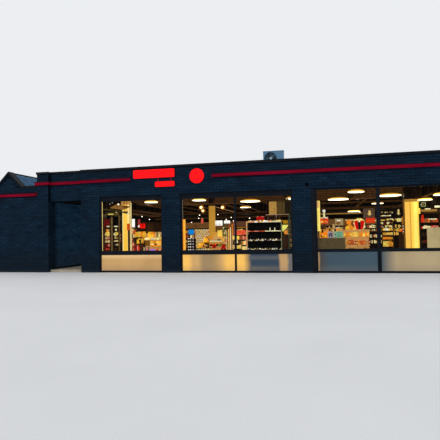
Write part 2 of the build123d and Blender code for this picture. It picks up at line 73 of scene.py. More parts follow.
class Shape:
    # faces gathered for one piece, each with a tint of its own
    def __init__(self):
        self.points, self.faces, self.tints, self.soft = [], [], [], []

    def add(self, points, faces, tint=white, soft=False):
        start = len(self.points)
        self.points += [tuple(p) for p in points]
        self.faces += [tuple(start + index for index in face) for face in faces]
        self.tints += [tinge(tint)] * len(faces)
        self.soft += [soft] * len(faces)

    def box(self, x0, x1, y0, y1, z0, z1, tint=white, edge=0.0):
        low, high = (x0, y0, z0), (x1, y1, z1)
        if edge <= 0:
            points = list(itertools.product((x0, x1), (y0, y1), (z0, z1)))
            sides = [(0, 1, 3, 2), (4, 6, 7, 5), (0, 4, 5, 1), (2, 3, 7, 6), (0, 2, 6, 4), (1, 5, 7, 3)]
            self.add(points, sides, tint)
            return
        points, place, faces = [], {}, []
        corners = list(itertools.product((0, 1), repeat=3))
        for corner in corners:                     # each corner becomes a small triangle
            for axis in range(3):
                place[corner, axis] = len(points)
                points.append([(high[k] if corner[k] else low[k]) + (0 if k == axis else -edge if corner[k] else edge)
                               for k in range(3)])

        def at(axis, side, sb, sc):
            corner = [0, 0, 0]
            corner[axis], corner[(axis + 1) % 3], corner[(axis + 2) % 3] = side, sb, sc
            return tuple(corner)

        for axis in range(3):
            b, c = (axis + 1) % 3, (axis + 2) % 3
            for side in (0, 1):                    # the flat sides
                ring = [place[at(axis, side, sb, sc), axis] for sb, sc in ((0, 0), (1, 0), (1, 1), (0, 1))]
                faces.append(ring if side else ring[::-1])
            for sb, sc in itertools.product((0, 1), repeat=2):  # the bevels
                near, far = at(axis, 0, sb, sc), at(axis, 1, sb, sc)
                ring = [place[near, b], place[far, b], place[far, c], place[near, c]]
                faces.append(ring[::-1] if sb == sc else ring)
        for corner in corners:
            ring = [place[corner, axis] for axis in range(3)]
            faces.append(ring if sum(corner) % 2 else ring[::-1])
        self.add(points, faces, tint)

    def tube(self, start, end, radius, sides=12, tint=white, tip=None):
        a, b = Vector(start), Vector(end)
        along = (b - a).normalized()
        across = along.orthogonal().normalized()
        up = along.cross(across)
        points = []
        for centre, r in ((a, radius), (b, radius if tip is None else tip)):
            for k in range(sides):
                turn = 2 * math.pi * k / sides
                points.append(centre + across * (r * math.cos(turn)) + up * (r * math.sin(turn)))
        walls = [(k, (k + 1) % sides, sides + (k + 1) % sides, sides + k) for k in range(sides)]
        self.add(points, walls, tint, True)
        self.add(points, [tuple(range(sides))[::-1], tuple(range(sides, 2 * sides))], tint)

    def ball(self, centre, rx, ry, rz, tint=white, rings=6, sides=10):
        x, y, z = centre
        points = [(x, y, z - rz)]
        for i in range(1, rings):
            lift, wide = -math.cos(math.pi * i / rings), math.sin(math.pi * i / rings)
            for turn in (2 * math.pi * k / sides for k in range(sides)):
                points.append((x + rx * wide * math.cos(turn), y + ry * wide * math.sin(turn), z + rz * lift))
        points.append((x, y, z + rz))
        last, top = 1 + (rings - 2) * sides, len(points) - 1
        pairs = [(k, (k + 1) % sides) for k in range(sides)]
        faces = [(0, 1 + n, 1 + k) for k, n in pairs]
        faces += [(a + k, a + n, a + sides + n, a + sides + k) for a in range(1, last, sides) for k, n in pairs]
        faces += [(last + k, last + n, top) for k, n in pairs]
        self.add(points, faces, tint, True)

    def rod(self, x, y, z, radius=0.006, tint="umber"):
        # a thin rod that hangs something from the ceiling
        self.tube((x, y, z), (x, y, ceilingZ), radius, 6, tint)

    def prism(self, outline, low, high, tint=white, axis="y"):
        # outline points are (x, z) for a prism along y and (y, z) along x
        count = len(outline)
        points = [(u, t, v) if axis == "y" else (t, u, v) for t in (low, high) for u, v in outline]
        faces = [tuple(range(count)), tuple(range(count, 2 * count))[::-1]]
        faces += [(k, count + k, count + (k + 1) % count, (k + 1) % count) for k in range(count)]
        self.add(points, faces, tint)

    def build(self, name, look, slotName=None, mend=True):
        mesh = bpy.data.meshes.new(name)
        mesh.from_pydata(self.points, [], self.faces)
        tint = mesh.attributes.new("tint", "FLOAT_COLOR", "FACE")
        tint.data.foreach_set("color", [v for t in self.tints for v in (*t, 1.0)])
        mesh.polygons.foreach_set("use_smooth", self.soft)
        if mend:  # normals outwards
            bm = bmesh.new()
            bm.from_mesh(mesh)
            bmesh.ops.recalc_face_normals(bm, faces=bm.faces)
            bm.to_mesh(mesh)
            bm.free()
        mesh.materials.append(looks[look])
        obj = bpy.data.objects.new(name, mesh)
        bpy.context.scene.collection.objects.link(obj)
        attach(obj, "root")


# materials

def feed(tree, socket, value):
    if isinstance(value, bpy.types.NodeSocket):
        tree.links.new(value, socket)
    else:
        socket.default_value = value


def node(tree, kind, inputs=None, out=0, **settings):
    # a shader node with its settings, and a value or a link for each input named
    made = tree.nodes.new("ShaderNode" + kind)
    for key, value in settings.items():
        setattr(made, key, value)
    for socket, value in (inputs or {}).items():
        feed(tree, made.inputs[socket], value)
    return made.outputs[out]


def ramp(tree, source, tones):
    made = tree.nodes.new("ShaderNodeValToRGB")
    stops = made.color_ramp.elements
    while len(stops) > len(tones):
        stops.remove(stops[-1])
    while len(stops) < len(tones):
        stops.new(1.0)
    for stop, (place, tone) in zip(stops, tones):
        stop.position, stop.color = place, (*tinge(tone), 1)
    tree.links.new(source, made.inputs[0])
    return made.outputs[0]


def evenly(tones, start, width):
    return [(start + width * k / max(len(tones) - 1, 1), tone) for k, tone in enumerate(tones)]


def product(tree, a, b):
    return b if a is None else node(tree, "Math", {0: a, 1: b}, operation="MULTIPLY")


def span(tree, source, low, high, fade):
    # 1 between low and high, fading to 0 over the given width; None leaves that side open
    result = None
    for limit, half in ((low, fade / 2), (high, -fade / 2)):
        if limit is not None:
            step = node(tree, "MapRange", {"From Min": limit - half, "From Max": limit + half, "Value": source})
            result = product(tree, result, step)
    return result


def mix(tree, kind, factor, a, b):
    return node(tree, "Mix", {0: factor, 6: a, 7: b}, out=2, data_type="RGBA", blend_type=kind)


def speckle(tree, coords, scale, stretch=(1, 1, 1), detail=4.0):
    mapped = node(tree, "Mapping", {"Scale": stretch, "Vector": coords})
    return node(tree, "TexNoise", {"Scale": scale, "Detail": detail, "Vector": mapped})


def blank(name):
    material = bpy.data.materials.new(name)
    material.use_nodes = True
    return material, material.node_tree, node(material.node_tree, "TexCoord", out="Object")


def surface(name, tones, grain=6.0, stretch=(1, 1, 1), rough=(0.5, 0.75), bump=0.15, fine=90.0, depth=0.002,
            shine=0.15, glow=0.0, tinted=False, layers=(), bands=None):
    # tones over a coarse noise, a fine noise in roughness and bump, then layers by place in the building
    material, tree, coords = blank(name)
    coarse, small = speckle(tree, coords, grain, stretch), speckle(tree, coords, fine, stretch, 3.0)
    axes = node(tree, "SeparateXYZ", {0: coords}).node.outputs
    colour = ramp(tree, coarse, evenly(tones, 0.32, 0.36))
    if bands:  # colours laid out along x, in metres, with soft edges that wander a little
        places, waver = bands["places"], bands["waver"]
        low, high = places[0][0], places[-1][0]
        wander = speckle(tree, coords, 1.7, (1, 1, 1.6), 2.0)
        bend = node(tree, "Math", {0: wander, 1: waver, 2: axes[0]}, operation="MULTIPLY_ADD")
        along = node(tree, "MapRange", {"From Min": low + waver / 2, "From Max": high + waver / 2, "Value": bend})
        laid = ramp(tree, along, [((p - low) / (high - low), c) for p, c in places])
        colour = mix(tree, "MULTIPLY", 1.0, laid, colour)
    if tinted:
        own = node(tree, "Attribute", out="Color", attribute_name="tint")
        colour = mix(tree, "MULTIPLY", 1.0, own, colour)
    light = glow
    for layer in layers:
        mask = None
        for axis, k in (("x", 0), ("y", 1), ("z", 2)):
            if axis in layer:
                mask = product(tree, mask, span(tree, axes[k], *layer[axis], layer.get("fade", 0.01)))
        if "share" in layer:
            mask = product(tree, mask, layer["share"])
        fill = ramp(tree, coarse, evenly(layer["tones"], 0.3, 0.4))
        colour = mix(tree, layer.get("kind", "MIX"), mask, colour, fill)
        if "glow" in layer:
            light = node(tree, "Mix", {0: mask, 2: light, 3: layer["glow"]})
    mottled = mix(tree, "MULTIPLY", 0.5, colour, ramp(tree, small, [(0.3, (0.72, 0.72, 0.72)), (0.7, white)]))
    values = {"Base Color": mottled, "Specular IOR Level": shine,
              "Roughness": node(tree, "MapRange", {"To Min": rough[0], "To Max": rough[1], "Value": small}),
              "Normal": node(tree, "Bump", {"Strength": bump, "Distance": depth, "Height": small})}
    if light != 0.0:
        values.update({"Emission Color": mottled, "Emission Strength": light})
    for socket, value in values.items():
        feed(tree, tree.nodes["Principled BSDF"].inputs[socket], value)
    return material


def glass(name, clear, sheen, share):
    # a thin pane: mostly see-through, with a faint emitted film as its painted sheen
    material, tree, coords = blank(name)
    tree.nodes.remove(tree.nodes["Principled BSDF"])
    dust = speckle(tree, coords, 2.5, (1, 1, 2.2))
    tone = ramp(tree, dust, [(0.3, tuple(0.97 * v for v in clear)), (0.7, clear)])
    strength = node(tree, "MapRange", {"To Min": 0.7, "To Max": 1.1, "Value": dust})
    film = node(tree, "Emission", {"Color": (*sheen, 1), "Strength": strength})
    pane = node(tree, "MixShader", {0: share, 1: node(tree, "BsdfTransparent", {"Color": tone}), 2: film})
    tree.links.new(pane, tree.nodes["Material Output"].inputs["Surface"])
    return material


def dress(names, material):
    for name in names.split():
        cad[name].data.materials.clear()
        cad[name].data.materials.append(material)


porchPaintedLight = dict(x=(-6.6, -4.86), y=(-6.42, -3.7), z=(None, 3.3), kind="MULTIPLY", tones=[white, white], fade=0.3,
                glow=0.8)      # painted light: the porch's walls glow so that they show as pale as the front
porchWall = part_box("porch_right_wall")
underRoof = (None, ceilingZ + 0.05)
masonry = dict(tones=["joint", "shadow"], grain=5, rough=(0.75, 0.95), bump=0.3, shine=0.05)
plasterAndPaintedLight = dict(tones=["plaster", "plasterPale"], glow=0.3, fade=0.02)    # faces that look into the shop: warm plaster, glowing with painted light
darkWall = dict(tones=[(10, 7, 4), (20, 13, 8)], fade=0.02, z=(2.45, ceilingZ + 0.05))
for name, nodes, inside in (
        ("outer_wall", "porch_left_wall portal_column portal_fascia", None),
        ("front_wall", "front_fascia front_piers",
         dict(y=(windows[0][1].y - 0.01, None), x=(porchWall[1].x - 0.03, 9.7))),
        ("end_wall", "right_wall", dict(x=(None, hallHigh.x - 0.1), y=(-6.9, 6.9), z=underRoof)),
        ("left_hall_wall", "left_wall", dict(x=(hallLow.x + 0.1, None), y=(None, 6.9), z=underRoof)),
        ("rear_wall", "back_wall", dict(y=(None, backY - 0.1), x=(-6.8, 9.7), z=underRoof)),
        ("porch_right", "porch_right_wall", dict(x=(porchWall[0].x + 0.1, None), z=underRoof)),
        ("porch_rear", "porch_back_wall", dict(y=(-2.45, None), z=underRoof))):
    layers = [dict(inside, **plasterAndPaintedLight), dict(inside, **darkWall)] if inside else []
    dress(nodes, surface(name, layers=[porchPaintedLight] + layers, **masonry))
dress("wing_front_wall wing_left_wall wing_back_wall",
      surface("wing_wall", layers=[dict(plasterAndPaintedLight, x=(-9.7, None), y=(-6.7, -1.2))], **masonry))

portalSide = -4.9                                # just inside the portal's right side
bandEnds = sorted(v.co.x for v in cad["hall_band"].data.vertices
                  if v.co.y < frontY - 0.05 and portalSide < v.co.x < hallHigh.x)
signGap = (bandEnds[0], bandEnds[-1])            # where the red band stops for the sign
hallBand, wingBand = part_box("hall_band"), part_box("wing_band")
shade = dict(fade=0.012, share=0.85, tones=[(3, 5, 8), (6, 8, 12)])      # painted shadow: a dark line under each band
hallShade, wingShade = ((band[0].z - 0.052, band[0].z - 0.022) for band in (hallBand, wingBand))
bandEdge = dict(fade=0.008, tones=[(34, 14, 24), (44, 18, 30)])          # dark top edge of each band
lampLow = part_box("pendant_lamps")[0]
frosted = {  # colours seen in the frosted panels
    "cream": (183, 145, 94), "warm": (232, 180, 90), "dull": (152, 126, 92), "slate": (50, 64, 78),
    "sand": (178, 142, 96), "stone": (90, 92, 96), "straw": (160, 142, 110), "haze": (66, 62, 60),
    "steel": (60, 77, 88), "tan": (194, 154, 98), "umber": (166, 136, 90),
}
panelPlaces = [(-4.1, "cream"), (-1.4, "cream"), (-0.56, "warm"), (-0.28, "warm"), (-0.1, "tan"), (0.1, "tan"),
               (0.32, "dull"), (0.6, "dull"), (0.8, "umber"), (1.02, "tan"), (1.25, "warm"), (1.92, "warm"),
               (2.2, "slate"), (3.22, "slate"), (3.31, "sand"), (3.56, "sand"), (3.61, "stone"), (4.6, "sand"),
               (4.7, "sand"), (4.76, "haze"), (5.1, "steel"), (6.9, "steel"), (7.4, "straw"), (9.1, "straw")]
finishes = {  # each with the solids that wear it
    "brick_paint": dict(
        tones=[(205, 205, 205), (255, 255, 255)], grain=1.3, stretch=(1, 1, 3), fine=70, rough=(0.7, 0.95), bump=0.5,
        depth=0.003, shine=0.06, tinted=True,
        layers=[dict(z=(None, 0.7), fade=1.0, tones=[(30, 36, 40), (16, 24, 34)], share=0.55),
                dict(z=(4.0, None), fade=0.5, tones=[(14, 24, 34), (20, 32, 44)], share=0.4), porchPaintedLight,
                dict(shade, x=(hallLow.x - 0.01, signGap[0]), z=hallShade),
                dict(shade, x=(signGap[1], None), z=hallShade),
                dict(shade, x=(None, hallLow.x - 0.02), z=wingShade)]),
    "dark_metal": dict(
        tones=[(9, 15, 24), (15, 23, 34)], grain=3, rough=(0.4, 0.62), bump=0.08, shine=0.1,
        on="window_1_frame window_2_frame window_3_frame window_3_trim window_head_panels lamp_rods"),
    "coping_metal": dict(
        tones=[(8, 13, 20), (14, 21, 30)], grain=2, stretch=(0.4, 0.4, 3), rough=(0.45, 0.7), bump=0.1, shine=0.12,
        on="hall_coping wing_coping wing_ridge_cap"),
    # the entrance frame and leaves glow: painted light
    "entrance_metal": dict(tones=[(70, 58, 30), (96, 82, 44)], grain=3, rough=(0.35, 0.6), shine=0.2, glow=0.25,
                           on="entrance_frame entrance_leaves"),
    # the bands and their drip lips glow a little: painted light
    "red_metal": dict(
        tones=[(100, 2, 24), (120, 3, 31), (132, 5, 36)], grain=1.5, stretch=(0.5, 0.5, 4), rough=(0.45, 0.65),
        bump=0.06, shine=0.03, glow=0.15, on="hall_band wing_band",
        layers=[dict(bandEdge, z=(band[1].z - 0.045, band[1].z + 0.01), x=reach)
                for band, reach in ((hallBand, (hallLow.x - 0.1, None)), (wingBand, (None, hallLow.x - 0.02)))]),
    # the panels glow: painted light from the shop behind them
    "frosted_pane": dict(
        tones=[(236, 236, 236), white], grain=1.2, stretch=(1, 1, 0.6), fine=160, rough=(0.35, 0.5), bump=0.05,
        shine=0.1, glow=0.62, bands=dict(waver=0.09, places=[(p, frosted[c]) for p, c in panelPlaces]),
        # painted light: the left panel is lighter towards its top
        layers=[dict(z=(0.62, None), fade=0.2, tones=[(250, 214, 158), (255, 220, 160)], x=(None, -1.2), share=0.4),
                dict(z=(None, 0.2), fade=0.3, tones=[(120, 110, 96), (90, 90, 92)], share=0.3),
                dict(x=(2.12, 3.24), z=(0.50, 0.64), fade=0.06, tones=[(90, 90, 90), (74, 78, 84)], share=0.7),
                dict(x=(2.16, 3.22), z=(0.09, 0.24), fade=0.06, tones=[(104, 94, 84), (78, 80, 84)], share=0.75)],
        on="window_lower_panels"),
    "roof_membrane": dict(
        tones=[(70, 72, 74), (96, 98, 100), (84, 84, 82)], grain=0.9, rough=(0.8, 0.95), bump=0.3,
        # the roof's underside is the shop's dark ceiling; its glow is painted light, brighter over the right of the
        # shop
        layers=[dict(z=underRoof, tones=[(12, 8, 5), (20, 13, 8)], glow=0.3),
                dict(x=(4.6, None), z=underRoof, fade=0.4, tones=[(44, 31, 17), (60, 43, 24)], glow=0.5)],
        on="roof_deck wing_roof_deck"),
    "slate_stone": dict(tones=[(62, 98, 132), (78, 118, 156)], grain=4, rough=(0.6, 0.85), bump=0.4, depth=0.003,
                        shine=0.1, tinted=True),
    "slate_bed": dict(tones=[(46, 58, 72), (60, 74, 90)], grain=6, rough=(0.7, 0.9), bump=0.3,
                      on="wing_pitched_roof"),
    # the shop floor glows a little: painted light
    "floor_tiles": dict(tones=[(150, 140, 124), (178, 168, 150)], grain=2.5, rough=(0.25, 0.5), bump=0.1, shine=0.3,
                        glow=0.15, on="floor_slab"),
    "porch_soffit": dict(tones=[(8, 10, 13), (14, 17, 21)], grain=4, rough=(0.7, 0.9), on="porch_ceiling"),
    # the columns glow: painted light
    "column_paint": dict(
        tones=[(196, 142, 46), (212, 160, 66)], grain=2, stretch=(1, 1, 0.3), rough=(0.4, 0.6), shine=0.1, glow=0.8,
        layers=[dict(x=(None, -3.0), tones=[(250, 190, 56), (255, 206, 84)], glow=1.0),
                # pale stripes down the first column's edges: painted highlights
                dict(x=(-4.33, -4.26), tones=[(255, 232, 150)], fade=0.03),
                dict(x=(-4.05, -3.9), tones=[(255, 226, 140)], fade=0.03),
                dict(x=(6.0, None), tones=[(255, 200, 66), (255, 212, 92)], glow=1.05),
                dict(x=(8.4, 8.69), tones=[(250, 192, 78), (255, 202, 96)], glow=0.98),
                # painted shade on the last column's left side
                dict(x=(8.4, 8.486), tones=[(110, 76, 30), (130, 90, 36)], glow=0.4),
                dict(x=(8.694, 8.736), tones=[(206, 146, 44)], fade=0.02),
                # painted highlight down the last column's right edge
                dict(x=(8.85, 9.0), tones=[(255, 238, 112)], fade=0.06),
                dict(x=(6.0, None), z=(2.90, None), tones=[(30, 20, 11), (38, 26, 14)], glow=0.3, fade=0.02),
                dict(z=(3.1, None), tones=[(26, 17, 10), (34, 24, 14)], glow=0.3, fade=0.02)],
        on="inner_columns"),
    "lamp_face": dict(
        tones=[(255, 238, 196), (255, 246, 220)], grain=3, shine=0.1, glow=4.0, on="pendant_lamps",
        # painted halo: an amber glow round the lamp's rim
        layers=[dict(z=(lampLow.z + 0.012, None), fade=0.004, tones=[(255, 186, 50), (255, 204, 80)], glow=1.2)]),
    "casing_metal": dict(tones=[(88, 132, 166), (104, 150, 184)], grain=4, rough=(0.35, 0.55), bump=0.05, shine=0.25,
                         on="ac_case"),
    "bearer_rubber": dict(tones=[(52, 54, 56), (70, 72, 74)], grain=9, rough=(0.8, 0.95), bump=0.4, on="ac_bearers"),
    "fan_plastic": dict(tones=[(22, 25, 30), (34, 38, 44)], grain=8, rough=(0.35, 0.55), shine=0.3, on="ac_fan"),
    "guard_wire": dict(tones=[(70, 90, 110), (92, 114, 134)], grain=20, rough=(0.3, 0.5), shine=0.3,
                       on="ac_fan_guard"),
    "dome_plastic": dict(tones=[(7, 9, 13), (12, 15, 20)], grain=12, rough=(0.3, 0.45), shine=0.03, on="dome_camera",
                         layers=[dict(y=(None, -7.012), tones=[(3, 4, 6), (5, 6, 9)], fade=0.002)]),
    # the rack glows a little: painted light
    "rack_metal": dict(tones=[(6, 5, 4), (14, 12, 9)], grain=6, rough=(0.6, 0.8), shine=0.03, glow=0.15,
                       on="display_rack"),
    # the shelves glow: painted light
    "shelf_metal": dict(
        tones=[(196, 152, 88), (222, 180, 112)], grain=5, rough=(0.4, 0.6), glow=0.45, on="shelf_runs",
        layers=[dict(x=(-0.2, 0.15), z=(1.3, None), tones=[(196, 142, 46), (212, 160, 66)], glow=0.8, fade=0.02)]),
    # the screen glows: painted light
    "screen_board": dict(tones=[(170, 150, 108), (196, 176, 130)], grain=2, stretch=(1, 1, 0.3), rough=(0.5, 0.7),
                         glow=0.6, on="service_screen"),
    # the goods glow: painted light of the shop's lamps
    "shop_goods": dict(tones=[(225, 225, 225), white], grain=9, rough=(0.6, 0.85), bump=0.1, shine=0.06, glow=0.8,
                       tinted=True),
    # boards glow as if under a lamp of their own: painted light
    "bright_board": dict(tones=[(246, 246, 246), white], grain=5, rough=(0.5, 0.7), bump=0.05, shine=0.1, glow=1.2,
                         tinted=True),
    # the fittings glow a little: painted light
    "dim_fittings": dict(tones=[(215, 215, 215), white], grain=7, rough=(0.5, 0.7), bump=0.1, shine=0.1, glow=0.5,
                         tinted=True),
    # lamps; the stems and reflectors that share this finish glow with them as painted light
    "lit_parts": dict(tones=[(250, 250, 250), white], grain=9, shine=0.1, glow=3.0, tinted=True),
    "sign_face": dict(tones=[(236, 4, 10), (250, 10, 14)], grain=3, stretch=(1, 1, 2), rough=(0.3, 0.45), bump=0.03,
                      shine=0.1, glow=1.0),
    # the rims and rails glow a little: painted light
    "sign_rim": dict(tones=[(120, 6, 14), (170, 12, 22)], grain=5, glow=0.35),
    "plinth_render": dict(
        tones=[(17, 29, 42), (26, 40, 54)], grain=3, stretch=(1, 1, 2), fine=50, rough=(0.75, 0.95), bump=0.6,
        depth=0.004, shine=0.05,
        layers=[dict(z=(None, 0.06), fade=0.1, tones=[(52, 52, 50), (40, 44, 48)], share=0.6)]),
    "roof_seams": dict(tones=[(78, 80, 82), (104, 106, 108)], grain=2, rough=(0.8, 0.95), tinted=True),
    "cooler_parts": dict(tones=[(225, 225, 225), white], grain=14, rough=(0.35, 0.55), shine=0.25, tinted=True),
    "socket_plastic": dict(tones=[(220, 220, 220), white], grain=12, shine=0.2, tinted=True),
    "studio_floor": dict(tones=[(226, 227, 229), (230, 231, 233)], grain=0.5, rough=(0.9, 1.0), bump=0.0, shine=0.0),
}
looks = {}
for name, finish in finishes.items():
    worn = finish.pop("on", "")
    looks[name] = surface(name, **finish)
    dress(worn, looks[name])
dress("window_glass entrance_glass", glass("clear_pane", (0.98, 0.985, 0.98), (0.05, 0.05, 0.05), 0.016))
print("materials made")


# brickwork: courses of painted bricks laid over the masonry, joints left as the wall behind

brick = {"long": 0.30, "course": 0.105, "base": 0.0785, "joint": 0.012, "proud": 0.0045, "uneven": 0.0012,
         "round": 0.0025, "plinth": 0.1835, "least": (0.025, 0.02), "mid": 0.7, "deep": 0.86, "shades": (0.95, 1.05)}
plinth = brick["plinth"]
brickTop = wallTop - 0.047                    # under the coping's legs
portal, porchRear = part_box("portal_column"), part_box("porch_back_wall")
fasciaLow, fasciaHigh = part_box("portal_fascia")
doorLow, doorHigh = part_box("entrance_frame")
porchTop = 3.0
wingLow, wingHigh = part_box("wing_front_wall")
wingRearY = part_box("wing_back_wall")[1].y
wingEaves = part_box("wing_left_wall")[1].z
wingMiddle = (wingLow.x + wingHigh.x) / 2
wingRoofTop = 3.78                            # the hall's left wall shows above it


def gable(u):
    # the wing's outline under its coping
    return max(wingEaves, wingHigh.z - abs(u - wingMiddle)) - 0.04


def layBricks(shape, axis, plane, out, areas, seed):
    # areas are (low, high, bottom, top) on the wall; top may be a function of the place along it
    chance = random.Random(seed)
    inset = brick["round"]
    for low, high, bottom, top in areas:
        level = isinstance(top, float)
        highest = top if level else max(top(low + (high - low) * k / 40) for k in range(41))
        first = int((bottom - brick["base"]) / brick["course"] + 1e-6)
        last = int((highest - brick["base"]) / brick["course"])
        for row in range(first, last + 1):
            bed = brick["base"] + row * brick["course"]
            z0 = max(bottom, bed)
            along = math.floor(low / brick["long"]) * brick["long"] - (brick["long"] / 2 if row % 2 else 0.0)
            while along < high:
                u0, u1 = max(low, along), min(high, along + brick["long"] - brick["joint"])
                along += brick["long"]
                z1 = min(bed + brick["course"] - brick["joint"], top if level else min(top(u0), top(u1)))
                if u1 - u0 < brick["least"][0] or z1 - z0 < brick["least"][1]:
                    continue
                rise = brick["proud"] + chance.uniform(-brick["uneven"], brick["uneven"])
                mood = chance.random()
                tone = "wallMid" if mood < brick["mid"] else "wallDeep" if mood < brick["deep"] else "wallPale"
                points = []
                for far, edge in ((plane, 0.0), (plane + out * rise, inset)):
                    for u, z in ((u0 + edge, z0 + edge), (u1 - edge, z0 + edge),
                                 (u1 - edge, z1 - edge), (u0 + edge, z1 - edge)):
                        points.append((u, far, z) if axis == "y" else (far, u, z))
                faces = [(4, 5, 6, 7), (0, 1, 5, 4), (1, 2, 6, 5), (2, 3, 7, 6), (3, 0, 4, 7)]
                if (axis == "y") == (out > 0):
                    faces = [face[::-1] for face in faces]
                shape.add(points, faces, tinge(tone, chance.uniform(*brick["shades"])))


pierEdges = [(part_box("front_piers")[0].x, windows[0][0].x), (windows[0][1].x, windows[1][0].x),
             (windows[1][1].x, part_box("window_3_trim")[0].x), (windows[2][1].x, hallHigh.x)]
laid = 0
for name, walls in (           # each wall: the axis across it, its plane, which way it faces, its areas, a seed
        ("front_brickwork", (
            ("y", frontY, -1, [(a, b, plinth, windowHead) for a, b in pierEdges]
             + [(fasciaHigh.x, hallHigh.x, windowHead, brickTop)], 3),
            ("y", frontY, -1, [(portal[0].x, portal[1].x, plinth, brickTop)], 5),
            ("y", fasciaLow.y, -1, [(fasciaLow.x, fasciaHigh.x, fasciaLow.z + 0.01, brickTop)], 7))),
        ("porch_brickwork", (
            ("x", portal[1].x, 1, [(frontY, porchRear[0].y, plinth, fasciaLow.z - 0.01)], 9),
            ("x", porchWall[0].x, -1, [(porchWall[0].y, doorLow.y - 0.01, plinth, porchTop),
                                       (doorHigh.y + 0.01, porchWall[1].y - 0.2, plinth, porchTop),
                                       (doorLow.y, doorHigh.y, doorHigh.z + 0.02, porchTop)], 11),
            ("y", porchRear[0].y, -1, [(porchRear[0].x, porchRear[1].x, plinth, porchTop)], 13))),
        ("wing_brickwork", (
            ("y", wingLow.y, -1, [(wingLow.x, wingHigh.x, plinth, gable)], 15),
            ("y", wingRearY, 1, [(wingLow.x, wingHigh.x, plinth, gable)], 17),
            ("x", wingLow.x, -1, [(wingLow.y, wingRearY, plinth, wingEaves - 0.04)], 19))),
        ("side_and_back_brickwork", (
            ("x", hallHigh.x, 1, [(frontY, backY, plinth, brickTop)], 21),
            ("x", hallLow.x, -1, [(wingRearY, backY, plinth, brickTop),
                                  (frontY, wingRearY, wingRoofTop, brickTop)], 23),
            ("y", backY, 1, [(hallLow.x, hallHigh.x, plinth, brickTop)], 25)))):
    bricks = Shape()
    for wall in walls:
        layBricks(bricks, *wall)
    bricks.build(name, "brick_paint", "painted_brick", mend=False)
    laid += len(bricks.faces) * 2
print("brickwork laid", laid)

# rendered plinth below the first course, with a weathered top edge
coat = {"thick": 0.009, "below": 0.012, "weathered": 0.01, "clear": 0.001}
strip = Shape()
for axis, plane, out, low, high in (
        *(("x", frontY, -1, *edges) for edges in pierEdges), ("x", frontY, -1, portal[0].x, portal[1].x),
        ("x", wingLow.y, -1, wingLow.x, wingHigh.x - coat["clear"]),
        ("x", wingRearY, 1, wingLow.x, wingHigh.x - coat["clear"]), ("x", backY, 1, hallLow.x, hallHigh.x),
        ("y", hallHigh.x, 1, frontY, backY), ("y", hallLow.x, -1, wingRearY + 0.01, backY),
        ("y", wingLow.x, -1, wingLow.y, wingRearY), ("y", portal[1].x, 1, frontY, porchRear[0].y)):
    top, face = plinth - coat["below"], plane + out * coat["thick"]
    strip.prism([(plane, 0.0), (face, 0.0), (face, top - coat["weathered"]), (plane, top)], low, high, axis=axis)
strip.build("plinth", "plinth_render", "painted_brick")

# drip lips folded down under the front faces of the red bands
lip = {"drop": 0.024, "thick": 0.012, "edge": 0.003, "in": 0.001, "behindWing": -0.92,
       "proud": hallBand[1].x - hallHigh.x}
proud = lip["proud"] - lip["in"]
front, rear, right, left = frontY - proud, backY + proud, hallHigh.x + proud, hallLow.x - proud
portalLeft, portalRight, portalFront = fasciaLow.x + proud, fasciaHigh.x - proud, fasciaLow.y - proud
outerX, outerY, innerY = wingBand[0].x + lip["in"], wingBand[0].y + lip["in"], wingBand[1].y - lip["in"]
drips = Shape()
for level, route in (              # plan routes with the building on their left
        (hallBand[0].z, [(left, rear), (left, lip["behindWing"])]),
        (hallBand[0].z, [(right, rear), (left, rear)]),
        (hallBand[0].z, [(signGap[1], front), (right, front), (right, rear)]),
        (hallBand[0].z, [(left, front), (portalLeft, front), (portalLeft, portalFront), (portalRight, portalFront),
                         (portalRight, front), (signGap[0], front)]),
        (wingBand[0].z, [(hallLow.x, innerY), (outerX, innerY), (outerX, outerY),
                         (hallLow.x - lip["proud"], outerY)])):
    for (xa, ya), (xb, yb) in zip(route, route[1:]):
        run = Vector((xb - xa, yb - ya)).normalized()
        side = Vector((run.y, -run.x)) * -lip["thick"]
        xs, ys = sorted((xa, xb, xa + side.x, xb + side.x)), sorted((ya, yb, ya + side.y, yb + side.y))
        drips.box(xs[0], xs[-1], ys[0], ys[-1], level - lip["drop"], level - 0.0005, white, lip["edge"])
drips.build("band_drip_lips", "red_metal", "red_metal")

# blank light boxes where the sign was: two long rounded boxes and a disc, on rails
signs = {"left": -2.55, "right": -0.787, "bottom": 3.79, "top": 4.14, "lowLeft": -1.62, "lowBottom": 3.42,
         "lowTop": 3.64, "depth": 0.045, "stand": 0.008, "round": 0.06, "steps": 5,
         "inset": 0.010, "cover": 0.012, "rim": 0.004}
disc = {"x": 0.125, "z": 3.79, "radius": 0.30, "rim": 0.041, "face": 0.036, "front": 0.045, "inset": 0.01,
        "bevel": 0.016, "sides": 40}
rails = {"places": (-1.5, -0.95), "half": 0.012, "front": 0.012, "back": 0.002, "bottom": 3.5, "top": 4.0}
signFaces, signRims = Shape(), Shape()
back = frontY - signs["stand"]
face = back - signs["depth"]


def rounded(x0, x1, z0, z1, inset):
    # outline of a box with rounded corners
    r, steps, points = signs["round"], signs["steps"], []
    for cx, cz, start in ((x1 - r, z1 - r, 0), (x0 + r, z1 - r, 90), (x0 + r, z0 + r, 180), (x1 - r, z0 + r, 270)):
        for turn in (math.radians(start + 90 * k / steps) for k in range(steps + 1)):
            points.append((cx + (r - inset) * math.cos(turn), cz + (r - inset) * math.sin(turn)))
    return points


